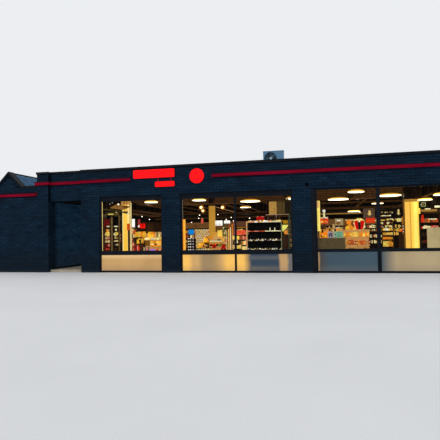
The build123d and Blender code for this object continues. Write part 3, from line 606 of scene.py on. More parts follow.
for extent in ((signs["left"], signs["right"], signs["bottom"], signs["top"]),
               (signs["lowLeft"], signs["right"], signs["lowBottom"], signs["lowTop"])):
    signFaces.prism(rounded(*extent, signs["inset"]), face, face + signs["cover"])
    signRims.prism(rounded(*extent, 0.0), face + signs["rim"], back)
x, z, r, sides = disc["x"], disc["z"], disc["radius"], disc["sides"]
signRims.tube((x, back, z), (x, back - disc["rim"], z), r, sides)
signFaces.tube((x, back - disc["face"], z), (x, back - disc["front"], z), r - disc["inset"], sides,
               tip=r - disc["bevel"])
for x in rails["places"]:
    signRims.box(x - rails["half"], x + rails["half"], frontY - rails["front"], frontY - rails["back"],
                 rails["bottom"], rails["top"])
signFaces.build("sign_light_faces", "sign_face", "red_metal")
signRims.build("sign_box_rims", "sign_rim", "red_metal")
print("sign boxes placed")

# slates on the wing's roof, laid in staggered courses up both slopes
slate = {"wide": 0.25, "show": 0.20, "lap": 0.03, "thick": 0.006, "gap": 0.004, "ridge": 0.04, "verge": 0.005,
         "lift": 0.004, "least": (0.03, 0.05), "foot": 0.01, "tones": (0.72, 1.0), "tips": (0.010, 0.014)}
roofLow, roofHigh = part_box("wing_pitched_roof")
slope = math.hypot(roofHigh.x - wingMiddle, roofHigh.z - roofLow.z)
slates, chance = Shape(), random.Random(31)
for side in (-1, 1):
    foot = Vector((wingMiddle + side * (roofHigh.x - wingMiddle), 0, roofLow.z))
    up = (Vector((wingMiddle, 0, roofHigh.z)) - foot).normalized()
    out = Vector((side * up.z, 0, -side * up.x))
    for row in range(int((slope - 0.06) / slate["show"]) + 1):
        start = row * slate["show"] + slate["foot"]
        end = min(start + slate["show"] + slate["lap"], slope - slate["ridge"])
        along = roofLow.y + slate["foot"] - (slate["wide"] / 2 if row % 2 else 0)
        while along < roofHigh.y:
            y0 = max(along, roofLow.y + slate["verge"])
            y1 = min(along + slate["wide"] - slate["gap"], roofHigh.y - slate["verge"])
            along += slate["wide"]
            if y1 - y0 < slate["least"][0] or end - start < slate["least"][1]:
                continue
            tone, tip = chance.uniform(*slate["tones"]), chance.uniform(*slate["tips"])
            corners = []
            for centre, lift in ((foot + up * start, tip), (foot + up * end, slate["lift"])):
                for y, deep in itertools.product((y0, y1), (0.0, slate["thick"])):
                    p = centre + out * (lift - deep)
                    corners.append((p.x, y, p.z))
            faces = [(0, 2, 6, 4), (1, 5, 7, 3), (0, 4, 5, 1), (2, 3, 7, 6), (0, 1, 3, 2), (4, 6, 7, 5)]
            slates.add(corners, faces, (tone, tone, tone))
slates.build("roof_slates", "slate_stone", "slate")

# roof membrane: welded seams and a strip of flashing round the parapets
sheet = {"lanes": 9, "half": 0.05, "clear": 0.06, "thick": 0.004, "flash": 0.05, "off": 0.001, "edge": 0.01}
(x0, y0, _), (x1, y1, _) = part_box("roof_deck")
roofing = Shape()
for k in range(1, sheet["lanes"]):
    x = x0 + k * (x1 - x0) / sheet["lanes"]
    roofing.box(x - sheet["half"], x + sheet["half"], y0 + sheet["clear"], y1 - sheet["clear"], roofTop,
                roofTop + sheet["thick"], (0.8, 0.8, 0.8))
flash, off = sheet["flash"], sheet["off"]
for xa, xb, ya, yb in ((x0, x1, y0, y0 + flash), (x0, x1, y1 - flash, y1),
                       (x0, x0 + flash, y0, y1), (x1 - flash, x1, y0, y1)):
    roofing.box(xa + off, xb - off, ya + off, yb - off, roofTop, roofTop + flash, (0.7, 0.7, 0.7), sheet["edge"])
roofing.build("roof_seams", "roof_seams", "roofing")
print("roofs dressed")


# the shop's ceiling: beams, ducts and lighting tracks, all hung from the roof

beam = {"pitch": 1.12, "wide": 0.12, "deep": 0.2, "from": -5.9, "to": 6.4, "left": -6.6, "right": 9.5, "edge": 0.01,
        "strip": 0.012, "inset": 0.02}
cross = {"places": (-5.2, -2.2, 1.2, 4.2, 7.4), "wide": 0.16, "deep": 0.12, "clear": 0.002, "from": -6.5, "to": 6.5}
beams = Shape()
y, z = beam["from"], ceilingZ - beam["deep"]
while y < beam["to"]:
    beams.box(beam["left"], beam["right"], y, y + beam["wide"], z, ceilingZ, "beam", beam["edge"])
    beams.box(beam["left"], beam["right"], y + beam["inset"], y + beam["wide"] - beam["inset"], z - beam["strip"], z,
              "beamPale")
    y += beam["pitch"]
for x in cross["places"]:
    beams.box(x, x + cross["wide"], cross["from"], cross["to"], ceilingZ - cross["deep"], ceilingZ - cross["clear"],
              "soot", beam["edge"])
beams.build("ceiling_beams", "dim_fittings", "roofing")

duct = {"from": -4.2, "to": 6.0, "length": 1.08, "pitch": 1.12, "collar": 0.012, "sides": 20}
ducts = Shape()
for x, z, r in ((3.2, 3.42, 0.17), (6.4, 3.46, 0.14)):
    y = duct["from"]
    while y < duct["to"]:
        end, after = y + duct["length"], y + duct["pitch"]
        ducts.tube((x, y, z), (x, end, z), r, duct["sides"], "soot")
        ducts.tube((x, end, z), (x, after, z), r + duct["collar"], duct["sides"], "beam")
        ducts.box(x - 0.01, x + 0.01, y + 1.09, y + 1.11, z + r, ceilingZ, "beam")      # its strap
        y = after
ducts.build("ceiling_ducts", "dim_fittings", "dark_metal")

tracks = Shape()
trackRuns = [   # points along each run, its radius and its colour
    ([(-1.58, -3.5, 2.93), (0.86, -3.5, 2.93), (1.04, -3.2, 2.93), (1.04, 6.0, 2.93)], 0.016, (128, 86, 54)),
    ([(-0.08, -3.5, 2.81), (-0.03, 1.0, 2.77)], 0.016, (214, 160, 116)),
    ([(-4.5, -2.0, 2.75), (-4.78, 2.0, 2.79)], 0.014, (104, 80, 66)),
    ([(6.07, -3.0, 2.985), (7.17, -3.0, 2.985)], 0.012, (126, 92, 68))]
alongShop = ((-6.5, 2.86, "beamPale", 0.05), (-5.9, 2.98, "beam", 0.07), (-3.6, 3.0, "beam", 0.05),
             (-2.2, 2.96, "beam", 0.03), (-1.5, 3.02, "beam", 0.05), (0.1, 3.0, "beam", 0.05),
             (2.2, 3.02, "beam", 0.06), (3.4, 3.0, "beam", 0.03), (6.9, 3.04, "beam", 0.05), (9.3, 3.02, "beam", 0.05))
pipes = [([(x, -4.2, z), (x, 6.3, z)], thick, tone) for x, z, tone, thick in alongShop]
for ends, rows in (((4.2, 9.4), ((0.4, 3.06, "beam", 0.05), (2.4, 2.88, "beam", 0.06), (3.6, 2.74, "soot", 0.08))),
                   ((-6.4, 4.0), ((2.0, 2.76, "beam", 0.04), (3.2, 2.66, "soot", 0.07), (5.2, 2.62, "beam", 0.05)))):
    pipes += [([(x, y, z) for x in ends], thick, tone) for y, z, tone, thick in rows]      # and across it
for group in (trackRuns, pipes):
    for points, thick, tone in group:
        for a, b in zip(points, points[1:]):
            tracks.tube(a, b, thick, 8, tone)
            for end in (a, b):
                tracks.rod(*end, 0.005, "beam")
    if group is trackRuns:
        tracks.box(6.38, 6.50, -3.03, -2.97, 2.93, 2.97, (170, 138, 104), 0.008)       # the last track's feed
tracks.build("lighting_tracks", "dim_fittings", "dark_metal")

spots = Shape()
for size, tone, places in (
        (0.036, (255, 244, 220), ((-3.866, -5.7, 2.89), (-5.615, 1.0, 2.645), (-5.55, 2.0, 2.50))),
        (0.03, (90, 88, 80), ((-4.158, -5.7, 2.966), (-4.275, -5.7, 2.912))),
        (0.034, (255, 244, 220), ((-2.325, 2.0, 2.68), (-2.38, 2.0, 2.495), (-3.14, 3.0, 2.29), (-1.185, 2.0, 2.685),
                                  (-0.38, 2.0, 2.495), (-0.69, 2.0, 2.375), (-0.245, 2.0, 2.285), (0.72, 2.0, 2.42),
                                  (1.17, 2.0, 2.36), (7.0, 3.0, 2.66)))):
    for x, y, z in places:
        spots.ball((x, y, z), size, size, size * 0.8, tone, rings=5, sides=8)
        spots.rod(x, y, z + size * 0.6, tint="soot")
spots.build("ceiling_spots", "lit_parts", "lamp")


def islands(name):
    # the boxes of a node's separate solids
    mesh, parent, found = cad[name].data, {}, {}

    def root(point):
        while parent[point] != point:
            point = parent[point]
        return point

    points = [tuple(round(c, 4) for c in v.co) for v in mesh.vertices]
    parent.update((point, point) for point in points)
    for polygon in mesh.polygons:
        first = root(points[polygon.vertices[0]])
        for index in polygon.vertices[1:]:
            parent[root(points[index])] = first
    for point in parent:
        found.setdefault(root(point), []).append(point)
    return sorted(tuple(Vector([pick(p[k] for p in group) for k in range(3)]) for pick in (min, max))
                  for group in found.values())


hoods = Shape()          # a shallow hood over each round lamp, its amber a painted glow from the lamp
for low, high in islands("pendant_lamps"):
    x, y, radius = (low.x + high.x) / 2, (low.y + high.y) / 2, (high.x - low.x) / 2
    for z0, z1, wide, tip, tone in ((0.001, 0.045, 0.92, 0.7, (255, 190, 70)),
                                    (0.045, 0.085, 0.68, 0.3, (150, 92, 26))):
        hoods.tube((x, y, high.z + z0), (x, y, high.z + z1), radius * wide, 36, tone, tip=radius * tip)
hoods.build("lamp_hoods", "shop_goods", "lamp")

globes = Shape()
for x, y, z, size in ((-0.84, -3.0, 2.81, 0.062), (-0.89, -2.5, 2.68, 0.055), (0.0, -2.0, 2.85, 0.062)):
    globes.ball((x, y, z), size, size, size, (255, 236, 160), rings=8, sides=14)
    globes.tube((x, y + size * 1.1, z), (x, y + size * 1.3, z), size * 2.0, 20, (96, 56, 10))      # amber reflector, glowing: painted light from the lamp
    globes.tube((x, y, z + size), (x, y, z + size + 0.06), 0.02, 8, "beam")
    globes.rod(x, y, z + size + 0.05, tint="soot")
globes.build("globe_lamps", "lit_parts", "lamp")
print("ceiling hung")


# shop fittings seen through the windows

lining, near = Shape(), windows[0][1].y + 0.004      # strips stand just behind the window frames, glowing with painted light
for x0, x1, z0, z1, tone in ((-4.105, -4.035, 0.88, 2.96, (250, 220, 138)),
                             (-0.575, -0.43, 0.88, 2.10, (250, 176, 62)),
                             (-0.575, -0.53, 2.11, 2.88, (128, 116, 100)), (4.655, 4.80, 1.54, 2.66, (252, 224, 110)),
                             (4.70, 4.76, 0.88, 1.53, (70, 56, 40)), (3.73, 3.80, 0.88, 2.9, (40, 46, 36))):
    lining.box(x0, x1, near, near + 0.075, z0, z1, tone, 0.008)
for x0, x1, z0, z1, tone in ((-0.53, -0.50, 0.9, 2.08, (236, 142, 24)), (-4.10, -4.05, 2.7, 2.94, (248, 206, 150)),
                             (4.67, 4.78, 2.4, 2.64, (222, 172, 104))):
    lining.box(x0, x1, near - 0.004, near, z0, z1, tone, 0.004)
lining.build("reveal_linings", "shop_goods", "cream_paint")

# In every call below a box is x0, x1, y0, y1, z0, z1, tone, bevel, and a ball is centre, three radii, tone, rings,
# sides. Sizes are in metres. What the photo shows was placed to match it, and the rest is guessed.
stock, fit, lit = Shape(), Shape(), Shape()      # goods; stands, tables and posts; boards that glow with painted light, as if under a lamp of their own


def some(pick, tones):
    return pick.choice(tones.split())


packet = {"deep": 0.12, "gap": 0.003, "edge": 0.004, "shades": (0.75, 1.15), "labelShade": 1.3, "labelEdge": 0.001,
          "labelFrom": (0.06, 0.12)}      # packets wider and higher than this have a label


def packets(x0, x1, y, z, height, tones, seed, wide=(0.05, 0.11), spread=0.25):
    # a row of packets standing on a shelf at z, some with a label
    pick, x = random.Random(seed), x0
    while x < x1 - 0.02:
        w = min(pick.uniform(*wide), x1 - x)
        h = height * pick.uniform(1 - spread, 1.0)
        gap, tone = packet["gap"], tinge(some(pick, tones), pick.uniform(*packet["shades"]))
        stock.box(x + gap, x + w - gap, y, y + packet["deep"], z, z + h, tone, packet["edge"])
        if w > packet["labelFrom"][0] and h > packet["labelFrom"][1]:
            tone = tinge(some(pick, tones), packet["labelShade"])
            stock.box(x + 0.2 * w, x + 0.8 * w, y - gap, y, z + 0.35 * h, z + 0.7 * h, tone, packet["labelEdge"])
        x += w


def rounds(x0, x1, y, z, size, tones, seed):
    # a row of round goods
    pick, x = random.Random(seed), x0 + size
    while x < x1 - size * 0.5:
        centre = (x, y + pick.uniform(-0.01, 0.01), z + size)
        stock.ball(centre, size, size, size * pick.uniform(0.85, 1.0), some(pick, tones), 6, 9)
        x += size * 2.02


def bottles(x0, x1, y, z, height, tones, seed, radius=0.036):
    # a row of bottles with necks
    pick, x = random.Random(seed), x0 + radius
    while x < x1 - radius * 0.6:
        tall = height * pick.uniform(0.85, 1.0)
        tone = tinge(some(pick, tones), pick.uniform(0.8, 1.1))
        stock.tube((x, y, z), (x, y, z + tall * 0.68), radius, 10, tone)
        stock.tube((x, y, z + tall * 0.68), (x, y, z + tall), radius, 10, tone, tip=radius * 0.3)
        x += 2.1 * radius


def table(x0, x1, y0, y1, top, tone="brown"):
    fit.box(x0, x1, y0, y1, top - 0.03, top, tone, 0.006)
    for x, y in itertools.product((x0 + 0.02, x1 - 0.06), (y0 + 0.02, y1 - 0.06)):
        fit.box(x, x + 0.04, y, y + 0.04, floorZ, top - 0.03, "dark")


def hung(x0, x1, y, z0, z1, tone, shape=stock, thick=0.03):
    # a blank sign hung from the ceiling on two rods
    shape.box(x0, x1, y, y + thick, z0, z1, tone, 0.006)
    for x in (x0 + 0.15 * (x1 - x0), x1 - 0.15 * (x1 - x0)):
        fit.rod(x, y + thick / 2, z1, 0.004, "dark")


def stand(x0, x1, y0, y1, top, shelves, side="dark"):
    # an upright stand: base, two cheeks, back and shelves
    fit.box(x0, x1, y0, y1, floorZ, floorZ + 0.12, "dark", 0.006)
    for x in (x0, x1 - 0.02):
        fit.box(x, x + 0.02, y0, y1, floorZ + 0.12, top, side)
    fit.box(x0, x1, y1 - 0.02, y1, floorZ + 0.12, top, "dark")
    for z in shelves:
        fit.box(x0 + 0.02, x1 - 0.02, y0, y1 - 0.02, z - 0.02, z, "umber")


# window 1: two narrow stands behind the left edge, with round tins, jars and plates
stand(-4.22, -3.91, -6.42, -6.12, 2.26, (0.86, 1.2, 1.34, 1.475, 1.88), "umber")
packets(-4.2, -3.93, -6.38, 1.90, 0.32, "deepRed wine", 41, (0.11, 0.15), 0.1)
stock.ball((-4.01, -6.34, 1.905), 0.1, 0.08, 0.028, "pale", 6, 18)
for x, z, r, tone in ((-4.06, 1.585, 0.11, "butter"), (-4.13, 1.56, 0.06, "pale"), (-3.99, 1.53, 0.05, "beige"),
                      (-4.08, 1.75, 0.055, "orange"), (-4.01, 1.74, 0.04, "beige"), (-4.12, 1.41, 0.06, "beige"),
                      (-4.01, 1.405, 0.058, "pink"), (-4.12, 1.27, 0.062, "beige"), (-4.0, 1.265, 0.06, "cream")):
    stock.ball((x, -6.34, z), r, r * 0.8, r, tinge(tone, 0.86), 9, 16)
rounds(-4.19, -3.94, -6.33, 1.035, 0.066, "pink deepRed red", 42)
packets(-4.2, -3.93, -6.38, 0.86, 0.17, "deepRed deepRed rust", 43, (0.07, 0.1))
packets(-4.2, -3.93, -6.2, 1.2, 0.14, "deepRed brown", 44)
stock.box(-3.845, -3.785, -6.46, -6.42, floorZ, 2.30, (104, 84, 50), 0.008)        # posts beside the stands
stock.box(-3.99, -3.93, -5.46, -5.42, floorZ, 2.42, (98, 76, 44), 0.008)
for k, (z, tone) in enumerate(((1.26, "rust"), (1.38, "beige"), (1.52, "pink"), (1.62, "brown"))):
    stock.ball((-4.03, -5.24, z), 0.055, 0.03, 0.06, tinge(tone, 0.7), 7, 10)
stand(-4.285, -4.0, -5.42, -5.12, 2.2, (0.86, 1.05, 1.24, 1.5, 1.72, 1.89), "black")
stock.ball((-4.135, -5.40, 1.925), 0.11, 0.07, 0.03, "pale", 6, 18)
stock.ball((-4.145, -5.40, 1.775), 0.048, 0.04, 0.048, "pale", 7, 12)
for x, z, r, tone in ((-4.19, 1.58, 0.07, "pale"), (-4.11, 1.6, 0.08, "butter"), (-4.16, 1.53, 0.05, "cream"),
                      (-4.17, 1.42, 0.06, "beige"), (-4.09, 1.40, 0.055, "khaki")):
    stock.ball((x, -5.40, z), r, r * 0.7, r, tinge(tone, 0.85), 8, 14)
stock.ball((-4.14, -5.40, 1.27), 0.115, 0.07, 0.03, "cream", 6, 18)
rounds(-4.22, -4.05, -5.38, 1.06, 0.045, "grey beige", 51)
packets(-4.24, -4.04, -5.4, 0.86, 0.15, "dark grey umber", 52)
fit.box(-4.66, -3.56, -5.44, -5.38, 2.53, 2.585, tinge("olive", 0.8), 0.01)         # two lighting bars
fit.box(-4.54, -3.95, -5.53, -5.47, 2.445, 2.50, tinge("khaki", 0.9), 0.01)
stock.box(-4.44, -4.20, -5.545, -5.53, 2.45, 2.495, (255, 238, 120), 0.004)
stock.ball((-4.09, -5.45, 2.555), 0.035, 0.02, 0.022, "cream", 6, 10)
for x, y in ((-4.6, -5.41), (-3.6, -5.41), (-4.5, -5.5), (-4.0, -5.5)):
    fit.rod(x, y, 2.49, 0.008)
# tilted ceiling panel
canopy = [(-4.42, -5.4, 2.75), (-4.495, -4.6, 2.955), (-3.77, -4.7, 2.83), (-3.695, -5.5, 2.65)]
slab = [(0, 1, 2, 3), (7, 6, 5, 4), (0, 4, 5, 1), (1, 5, 6, 2), (2, 6, 7, 3), (3, 7, 4, 0)]
small = [(x * 0.4 - 2.2, y * 0.4 - 3.0, z * 0.4 + 1.68) for x, y, z in canopy]
for panel, thick, tone in ((canopy, 0.03, (206, 146, 70)), (small, 0.01, (150, 92, 34))):
    fit.add(panel + [(x, y, z + thick) for x, y, z in panel], slab, tone)
for x, y, z in canopy:
    fit.rod(x, y, z + 0.02, 0.006, "brown")
fit.box(-3.99, -3.895, -4.50, -4.43, floorZ, 2.07, "umber", 0.004)            # post, and a cream strip painted as the lit edge before the column
fit.box(-3.895, -3.868, -4.50, -4.43, floorZ, 3.0, tinge("wood", 0.9), 0.004)
stock.box(-4.00, -3.87, -4.57, -4.51, 1.76, 2.06, (222, 84, 14), 0.01)
stock.box(-3.868, -3.81, -4.52, -4.45, floorZ, 3.04, "cream", 0.006)
stock.box(-4.34, -3.84, -4.47, -4.42, 2.96, 3.12, (206, 154, 78), 0.01)
fit.tube((-4.20, -4.62, 2.60), (-3.93, -4.62, 2.53), 0.024, 10, "black")
stock.ball((-3.92, -4.63, 2.545), 0.04, 0.03, 0.045, (214, 206, 190), 7, 12)
fit.rod(-4.1, -4.62, 2.57, 0.008)
hung(-4.46, -4.31, -3.0, 1.93, 2.34, (252, 252, 250), shape=lit)
hung(-4.13, -4.02, -3.0, 1.99, 2.32, (176, 60, 60))
hung(-3.59, -3.33, -4.0, 1.84, 2.07, (244, 22, 12))
stock.ball((-3.47, -4.005, 1.98), 0.07, 0.012, 0.07, (200, 8, 6), 8, 18)
stock.ball((-3.65, -4.0, 1.94), 0.05, 0.03, 0.055, "white", 7, 12)
fit.rod(-3.65, -4.0, 1.98, 0.004, "dark")
fit.box(-3.47, -3.15, -3.42, -3.38, floorZ, 2.05, tinge("umber", 0.9), 0.006)
stand(-4.14, -3.92, -3.86, -3.6, 1.86, (0.8, 0.98, 1.16, 1.34, 1.52, 1.7), "brown")
for z, tones, seed in ((0.8, "umber rust", 61), (0.98, "pink deepRed", 62), (1.16, "dark rust pink", 63),
                       (1.34, "dark beige", 64), (1.52, "beige umber", 65), (1.7, "beige dark", 66)):
    packets(-4.12, -3.94, -3.85, z, 0.15, tones, seed, (0.05, 0.08))
for k in range(5):
    packets(-3.88, -3.70, -4.33, 0.80 + 0.2 * k, 0.17, "beige rust pink dark", 220 + k, (0.05, 0.08))
    fit.box(-3.89, -3.69, -4.34, -4.2, 0.785 + 0.2 * k, 0.80 + 0.2 * k, "umber")
stand(-3.56, -3.34, -4.5, -4.2, 1.42, (0.8, 1.12, 1.42), "umber")
packets(-3.55, -3.35, -4.5, 0.8, 0.27, "red pink", 67, (0.07, 0.12))
packets(-3.55, -3.42, -4.5, 1.12, 0.2, "yellow orange", 68, (0.07, 0.12))
stock.ball((-3.37, -4.52, 1.26), 0.055, 0.04, 0.055, "black", 8, 14)
fit.tube((-3.37, -4.52, floorZ), (-3.37, -4.52, 1.22), 0.024, 10, tinge("olive", 0.5))
print("window 1 fitted")

# goods on the shelf runs
run1, run2, run3 = (-3.3, -2.23), (-0.1, 1.77), (4.6, 6.77)
tiers = (0.6175, 0.955, 1.2925)
bakes = "orange yellow butter amber"
packets(-3.69, -3.2, -4.36, 1.425, 0.26, "yellow orange butter", 69, (0.1, 0.16), 0.1)
packets(-3.50, -3.25, -4.46, 1.139, 0.27, "yellow butter amber", 88, (0.07, 0.1), 0.2)
packets(-3.69, -3.38, -4.46, 0.80, 0.30, "deepRed red deepRed", 89, (0.08, 0.12), 0.2)
packets(-3.24, -2.98, -4.46, 0.80, 0.20, "pink grey beige", 90, (0.06, 0.09), 0.4)
fit.box(-3.69, -2.98, -4.47, -4.33, 0.785, 0.80, "umber")
fit.box(-3.52, -3.24, -4.47, -4.33, 1.125, 1.139, "umber")
fit.box(-3.69, -3.66, -4.47, -4.33, floorZ, 1.42, "umber")
packets(-3.14, -2.86, -4.12, tiers[2], 0.39, "orange yellow", 70, (0.12, 0.16), 0.06)
packets(-2.78, run1[1], -4.12, tiers[2], 0.37, "beige khaki cream beige", 71, (0.05, 0.07), 0.06)
packets(run1[0], run1[1], -4.28, tiers[2] + 0.003, 0.12, "butter pale pale", 72, (0.06, 0.12), 0.3)
packets(-2.96, run1[1], -4.29, tiers[1] + 0.17, 0.13, bakes, 73, (0.05, 0.1))
packets(-2.96, run1[1], -4.27, tiers[1], 0.17, "amber orange", 74, (0.1, 0.2), 0.05)
stock.box(-3.19, -2.975, -4.37, -4.29, tiers[1] + 0.05, tiers[2] - 0.03, (126, 86, 22), 0.01)
rounds(-2.95, run1[1], -4.31, tiers[1] + 0.09, 0.033, "black pale black cream", 76)
packets(-2.95, run1[1], -4.30, tiers[1], 0.075, "orange beige amber", 77, (0.1, 0.2))
packets(run1[0], run1[1], -4.29, tiers[0] + 0.003, 0.14, "pink amber rust", 78, (0.07, 0.13))
rounds(-2.93, -2.66, -4.36, 0.76, 0.06, "purple", 79)
rounds(-3.22, -2.95, -4.36, 0.76, 0.055, "pink beige grey", 80)
rounds(-2.64, -2.25, -4.36, 0.76, 0.055, "beige pink red", 81)
fit.box(run1[0], run1[1], -4.40, -4.32, 0.745, 0.76, "umber")
for z, seed in ((tiers[0] + 0.003, 110), (tiers[1], 111), (tiers[2], 112)):
    packets(run1[0], run1[1], -3.74, z, 0.2, bakes + " rust", seed, (0.07, 0.13))
for z, tones, seed in ((tiers[0] + 0.003, "red deepRed", 82), (tiers[1], "umber brown dark green", 83),
                       (tiers[2], "orange beige butter", 84)):
    packets(run2[0], run2[1], -4.29, z, 0.14 if z < 1.2 else 0.1, tones, seed)
    packets(run2[0], run2[1], -3.74, z, 0.2, tones, seed + 40)
rounds(-0.1, 0.3, -4.33, tiers[1] + 0.02, 0.05, "deepRed red black", 85)
stock.box(-0.076, 0.45, -4.40, -4.33, 1.168, 1.21, "pale", 0.006)
stock.box(-0.076, 0.45, -4.41, -4.33, tiers[1] + 0.10, tiers[1] + 0.13, "orange", 0.006)
for x in (-0.07, 0.14, 0.42):
    fit.tube((x, -4.37, tiers[1]), (x, -4.37, tiers[1] + 0.2), 0.007, 6, "umber")
packets(0.23, 0.43, -4.13, tiers[2] + 0.09, 0.31, "yellow butter", 86, (0.1, 0.12), 0.05)
stock.box(0.25, 0.405, -4.28, -4.2, 1.21, 1.38, "black", 0.006)
for x, z in ((0.52, 0.95), (0.565, 1.01), (0.61, 0.96), (0.56, 0.90), (0.50, 0.87), (0.62, 0.87)):
    stock.ball((x, -4.43, z), 0.05, 0.045, 0.05, (176, 10, 14), 8, 14)
fit.box(0.45, 0.68, -4.48, -4.38, floorZ, 0.83, "umber", 0.006)
packets(0.04, 0.21, -4.42, 0.90, 0.13, "red deepRed", 87, (0.06, 0.09), 0.2)
fit.box(0.02, 0.23, -4.43, -4.29, 0.88, 0.90, "umber")
leaves = "green olive pink pale khaki umber beige dark"
for k in range(64):                             # flowers and leaves standing on the second run
    pick = random.Random(300 + k)
    x, z = 0.466 + 0.29 * pick.random(), 1.31 + 0.51 * pick.random() ** 1.2
    stock.ball((x, -4.2 + 0.12 * pick.random(), z), 0.026, 0.024, 0.034, some(pick, leaves), 5, 7)
    stock.tube((x, -4.12, tiers[2]), (x, -4.12, z), 0.003, 5, "olive")
for k in range(40):
    pick = random.Random(380 + k)
    x, z = 0.47 + 0.29 * pick.random(), 1.05 + 0.24 * pick.random()
    stock.ball((x, -4.34, z), 0.03, 0.03, 0.03, some(pick, "butter olive beige khaki pink"), 5, 7)
for k, (tone, top) in enumerate((("beige", 1.62), ("umber", 1.78), ("butter", 1.72), ("rust", 1.90), ("pale", 1.80),
                                 ("brown", 2.0), ("orange", 1.94), ("umber", 2.05), ("pink", 2.1))):
    x = 0.70 + 0.042 * k
    stock.box(x, x + 0.034, -4.40, -4.37, 0.8, top, tone, 0.004)
fit.box(0.69, 1.09, -4.41, -4.36, floorZ, 0.8, "brown", 0.006)
for z, tones, seed in ((tiers[0] + 0.003, "khaki brown", 91), (tiers[1], "amber beige rust", 92),
                       (tiers[2], "orange butter amber", 93)):
    packets(run3[0], run3[1], -4.29, z, 0.2, tones, seed)
    packets(run3[0], run3[1], -3.74, z, 0.2, tones, seed + 40)
print("shelf runs filled")

# window 2, left leaf
hung(-1.37, -0.92, 2.0, 2.03, 2.33, (252, 250, 244), shape=lit)
for k in range(4):
    stock.box(-1.32 + 0.1 * k, -1.26 + 0.1 * k, 1.994, 1.999, 2.06 + 0.03 * (k % 2), 2.12 + 0.03 * (k % 3),
              (226, 222, 218), 0.001)
hung(-0.82, -0.457, 2.0, 2.14, 2.32, (252, 250, 244), shape=lit)
for k in range(5):
    stock.box(-0.80 + 0.066 * k, -0.77 + 0.066 * k, 1.994, 1.999, 2.10, 2.15 + 0.02 * (k % 3), (120, 110, 96), 0.001)
hung(-0.94, -0.82, 2.1, 1.98, 2.24, (66, 70, 40))
fit.box(-0.83, -0.40, 0.02, 0.06, 1.70, 1.91, tinge("wood", 0.9), 0.008)
for x in (-0.8, -0.44):
    fit.rod(x, 0.04, 1.9)
hung(-1.81, -1.51, -2.0, 1.52, 1.76, "blue")
stock.ball((-1.66, -2.02, 1.41), 0.05, 0.03, 0.085, "pale", 8, 12)
hung(-1.13, -1.005, -2.0, 2.06, 2.30, (222, 92, 60))
stock.box(-1.11, -1.03, -2.01, -1.99, 2.30, 2.335, (206, 170, 150), 0.004)
stand(-2.16, -1.31, 0.36, 0.56, 1.84, (0.60, 1.82), "beige")
stock.box(-2.13, -1.33, 0.42, 0.46, 0.62, 1.82, (166, 126, 70), 0.006)
for row in range(11):                           # a wall of small round goods, on pegs
    for column in range(8):
        pick = random.Random(400 + 12 * row + column)
        x, z = -2.08 + 0.1 * column + 0.05 * (row % 2), 0.68 + 0.108 * row
        if x > -1.36:
            continue
        tone = tinge(some(pick, "pale white cream cream"), pick.uniform(0.95, 1.1))
        stock.ball((x, 0.40, z), 0.034, 0.03, 0.038, tone, 6, 8)
        stock.ball((x + 0.05, 0.41, z), 0.014, 0.02, 0.024, some(pick, "umber brown rust"), 5, 7)
stand(-1.85, -1.47, -2.06, -1.8, 1.30, (0.70, 0.84, 0.98, 1.12, 1.26), "black")
for row in range(5):
    for x, tone in ((-1.79, "white"), (-1.69, "white"), (-1.55, (214, 200, 214))):
        stock.ball((x, -2.04, 0.745 + 0.14 * row), 0.042, 0.03, 0.032, tinge(tone, 0.9), 7, 12)
table(-1.22, -0.3, -2.66, -1.9, 0.84, "umber")
# stacked loaves in a heap
for centre, base, half, rise, y in ((-0.90, 1.10, 0.15, 0.28, -1.98), (-1.02, 0.845, 0.2, 0.26, -2.42)):
    rows = 6
    for row in range(rows):
        reach = half * math.sqrt(max(1 - (row / rows) ** 2, 0.05))
        packets(centre - reach, centre + reach, y, base + row * rise / rows, rise / rows, "yellow orange butter",
                100 + row, (0.04, 0.06), 0.05)
fit.box(-1.06, -0.74, -2.02, -1.9, 0.84, 1.10, "brown", 0.006)
for k in range(22):
    pick = random.Random(440 + k)
    stock.ball((-0.92 + 0.62 * pick.random(), -2.56, 0.88 + 0.1 * pick.random()), 0.034, 0.03, 0.032,
               tinge(some(pick, "black umber red deepRed green beige black"), 0.9), 6, 9)
for x0, x1, z0, z1 in ((-0.86, -0.72, 1.30, 1.42), (-0.78, -0.66, 1.20, 1.32)):
    stock.box(x0, x1, -1.99, -1.96, z0, z1, "amber", 0.006)
fit.tube((-0.88, -2.0, 1.42), (-0.68, -2.0, 1.16), 0.012, 6, "brown")
stand(-0.50, 0.05, -1.5, -1.1, 1.75, (0.8, 1.1, 1.4), "wood")
for z, seed in ((0.8, 131), (1.1, 132), (1.4, 133)):
    packets(-0.48, 0.03, -1.47, z, 0.24, "amber umber beige rust", seed)
stand(0.2, 1.2, -1.3, -0.9, 1.95, (0.8, 1.15, 1.5, 1.8), "wood")
for z, seed in ((0.8, 135), (1.15, 136), (1.5, 137)):
    packets(0.22, 1.18, -1.27, z, 0.26, "rust umber beige olive butter", seed)

# window 2, right leaf
stock.box(0.90, 1.33, -2.98, -2.94, 1.89, 2.08, (112, 74, 54), 0.006)
for k in range(6):
    stock.box(0.93 + 0.065 * k, 0.95 + 0.065 * k, -2.986, -2.98, 1.93, 2.05, "umber", 0.001)
for x in (0.93, 1.30):
    fit.rod(x, -2.96, 2.07, 0.005)
stock.box(0.90, 1.33, -2.98, -2.94, 1.80, 1.83, "amber", 0.004)
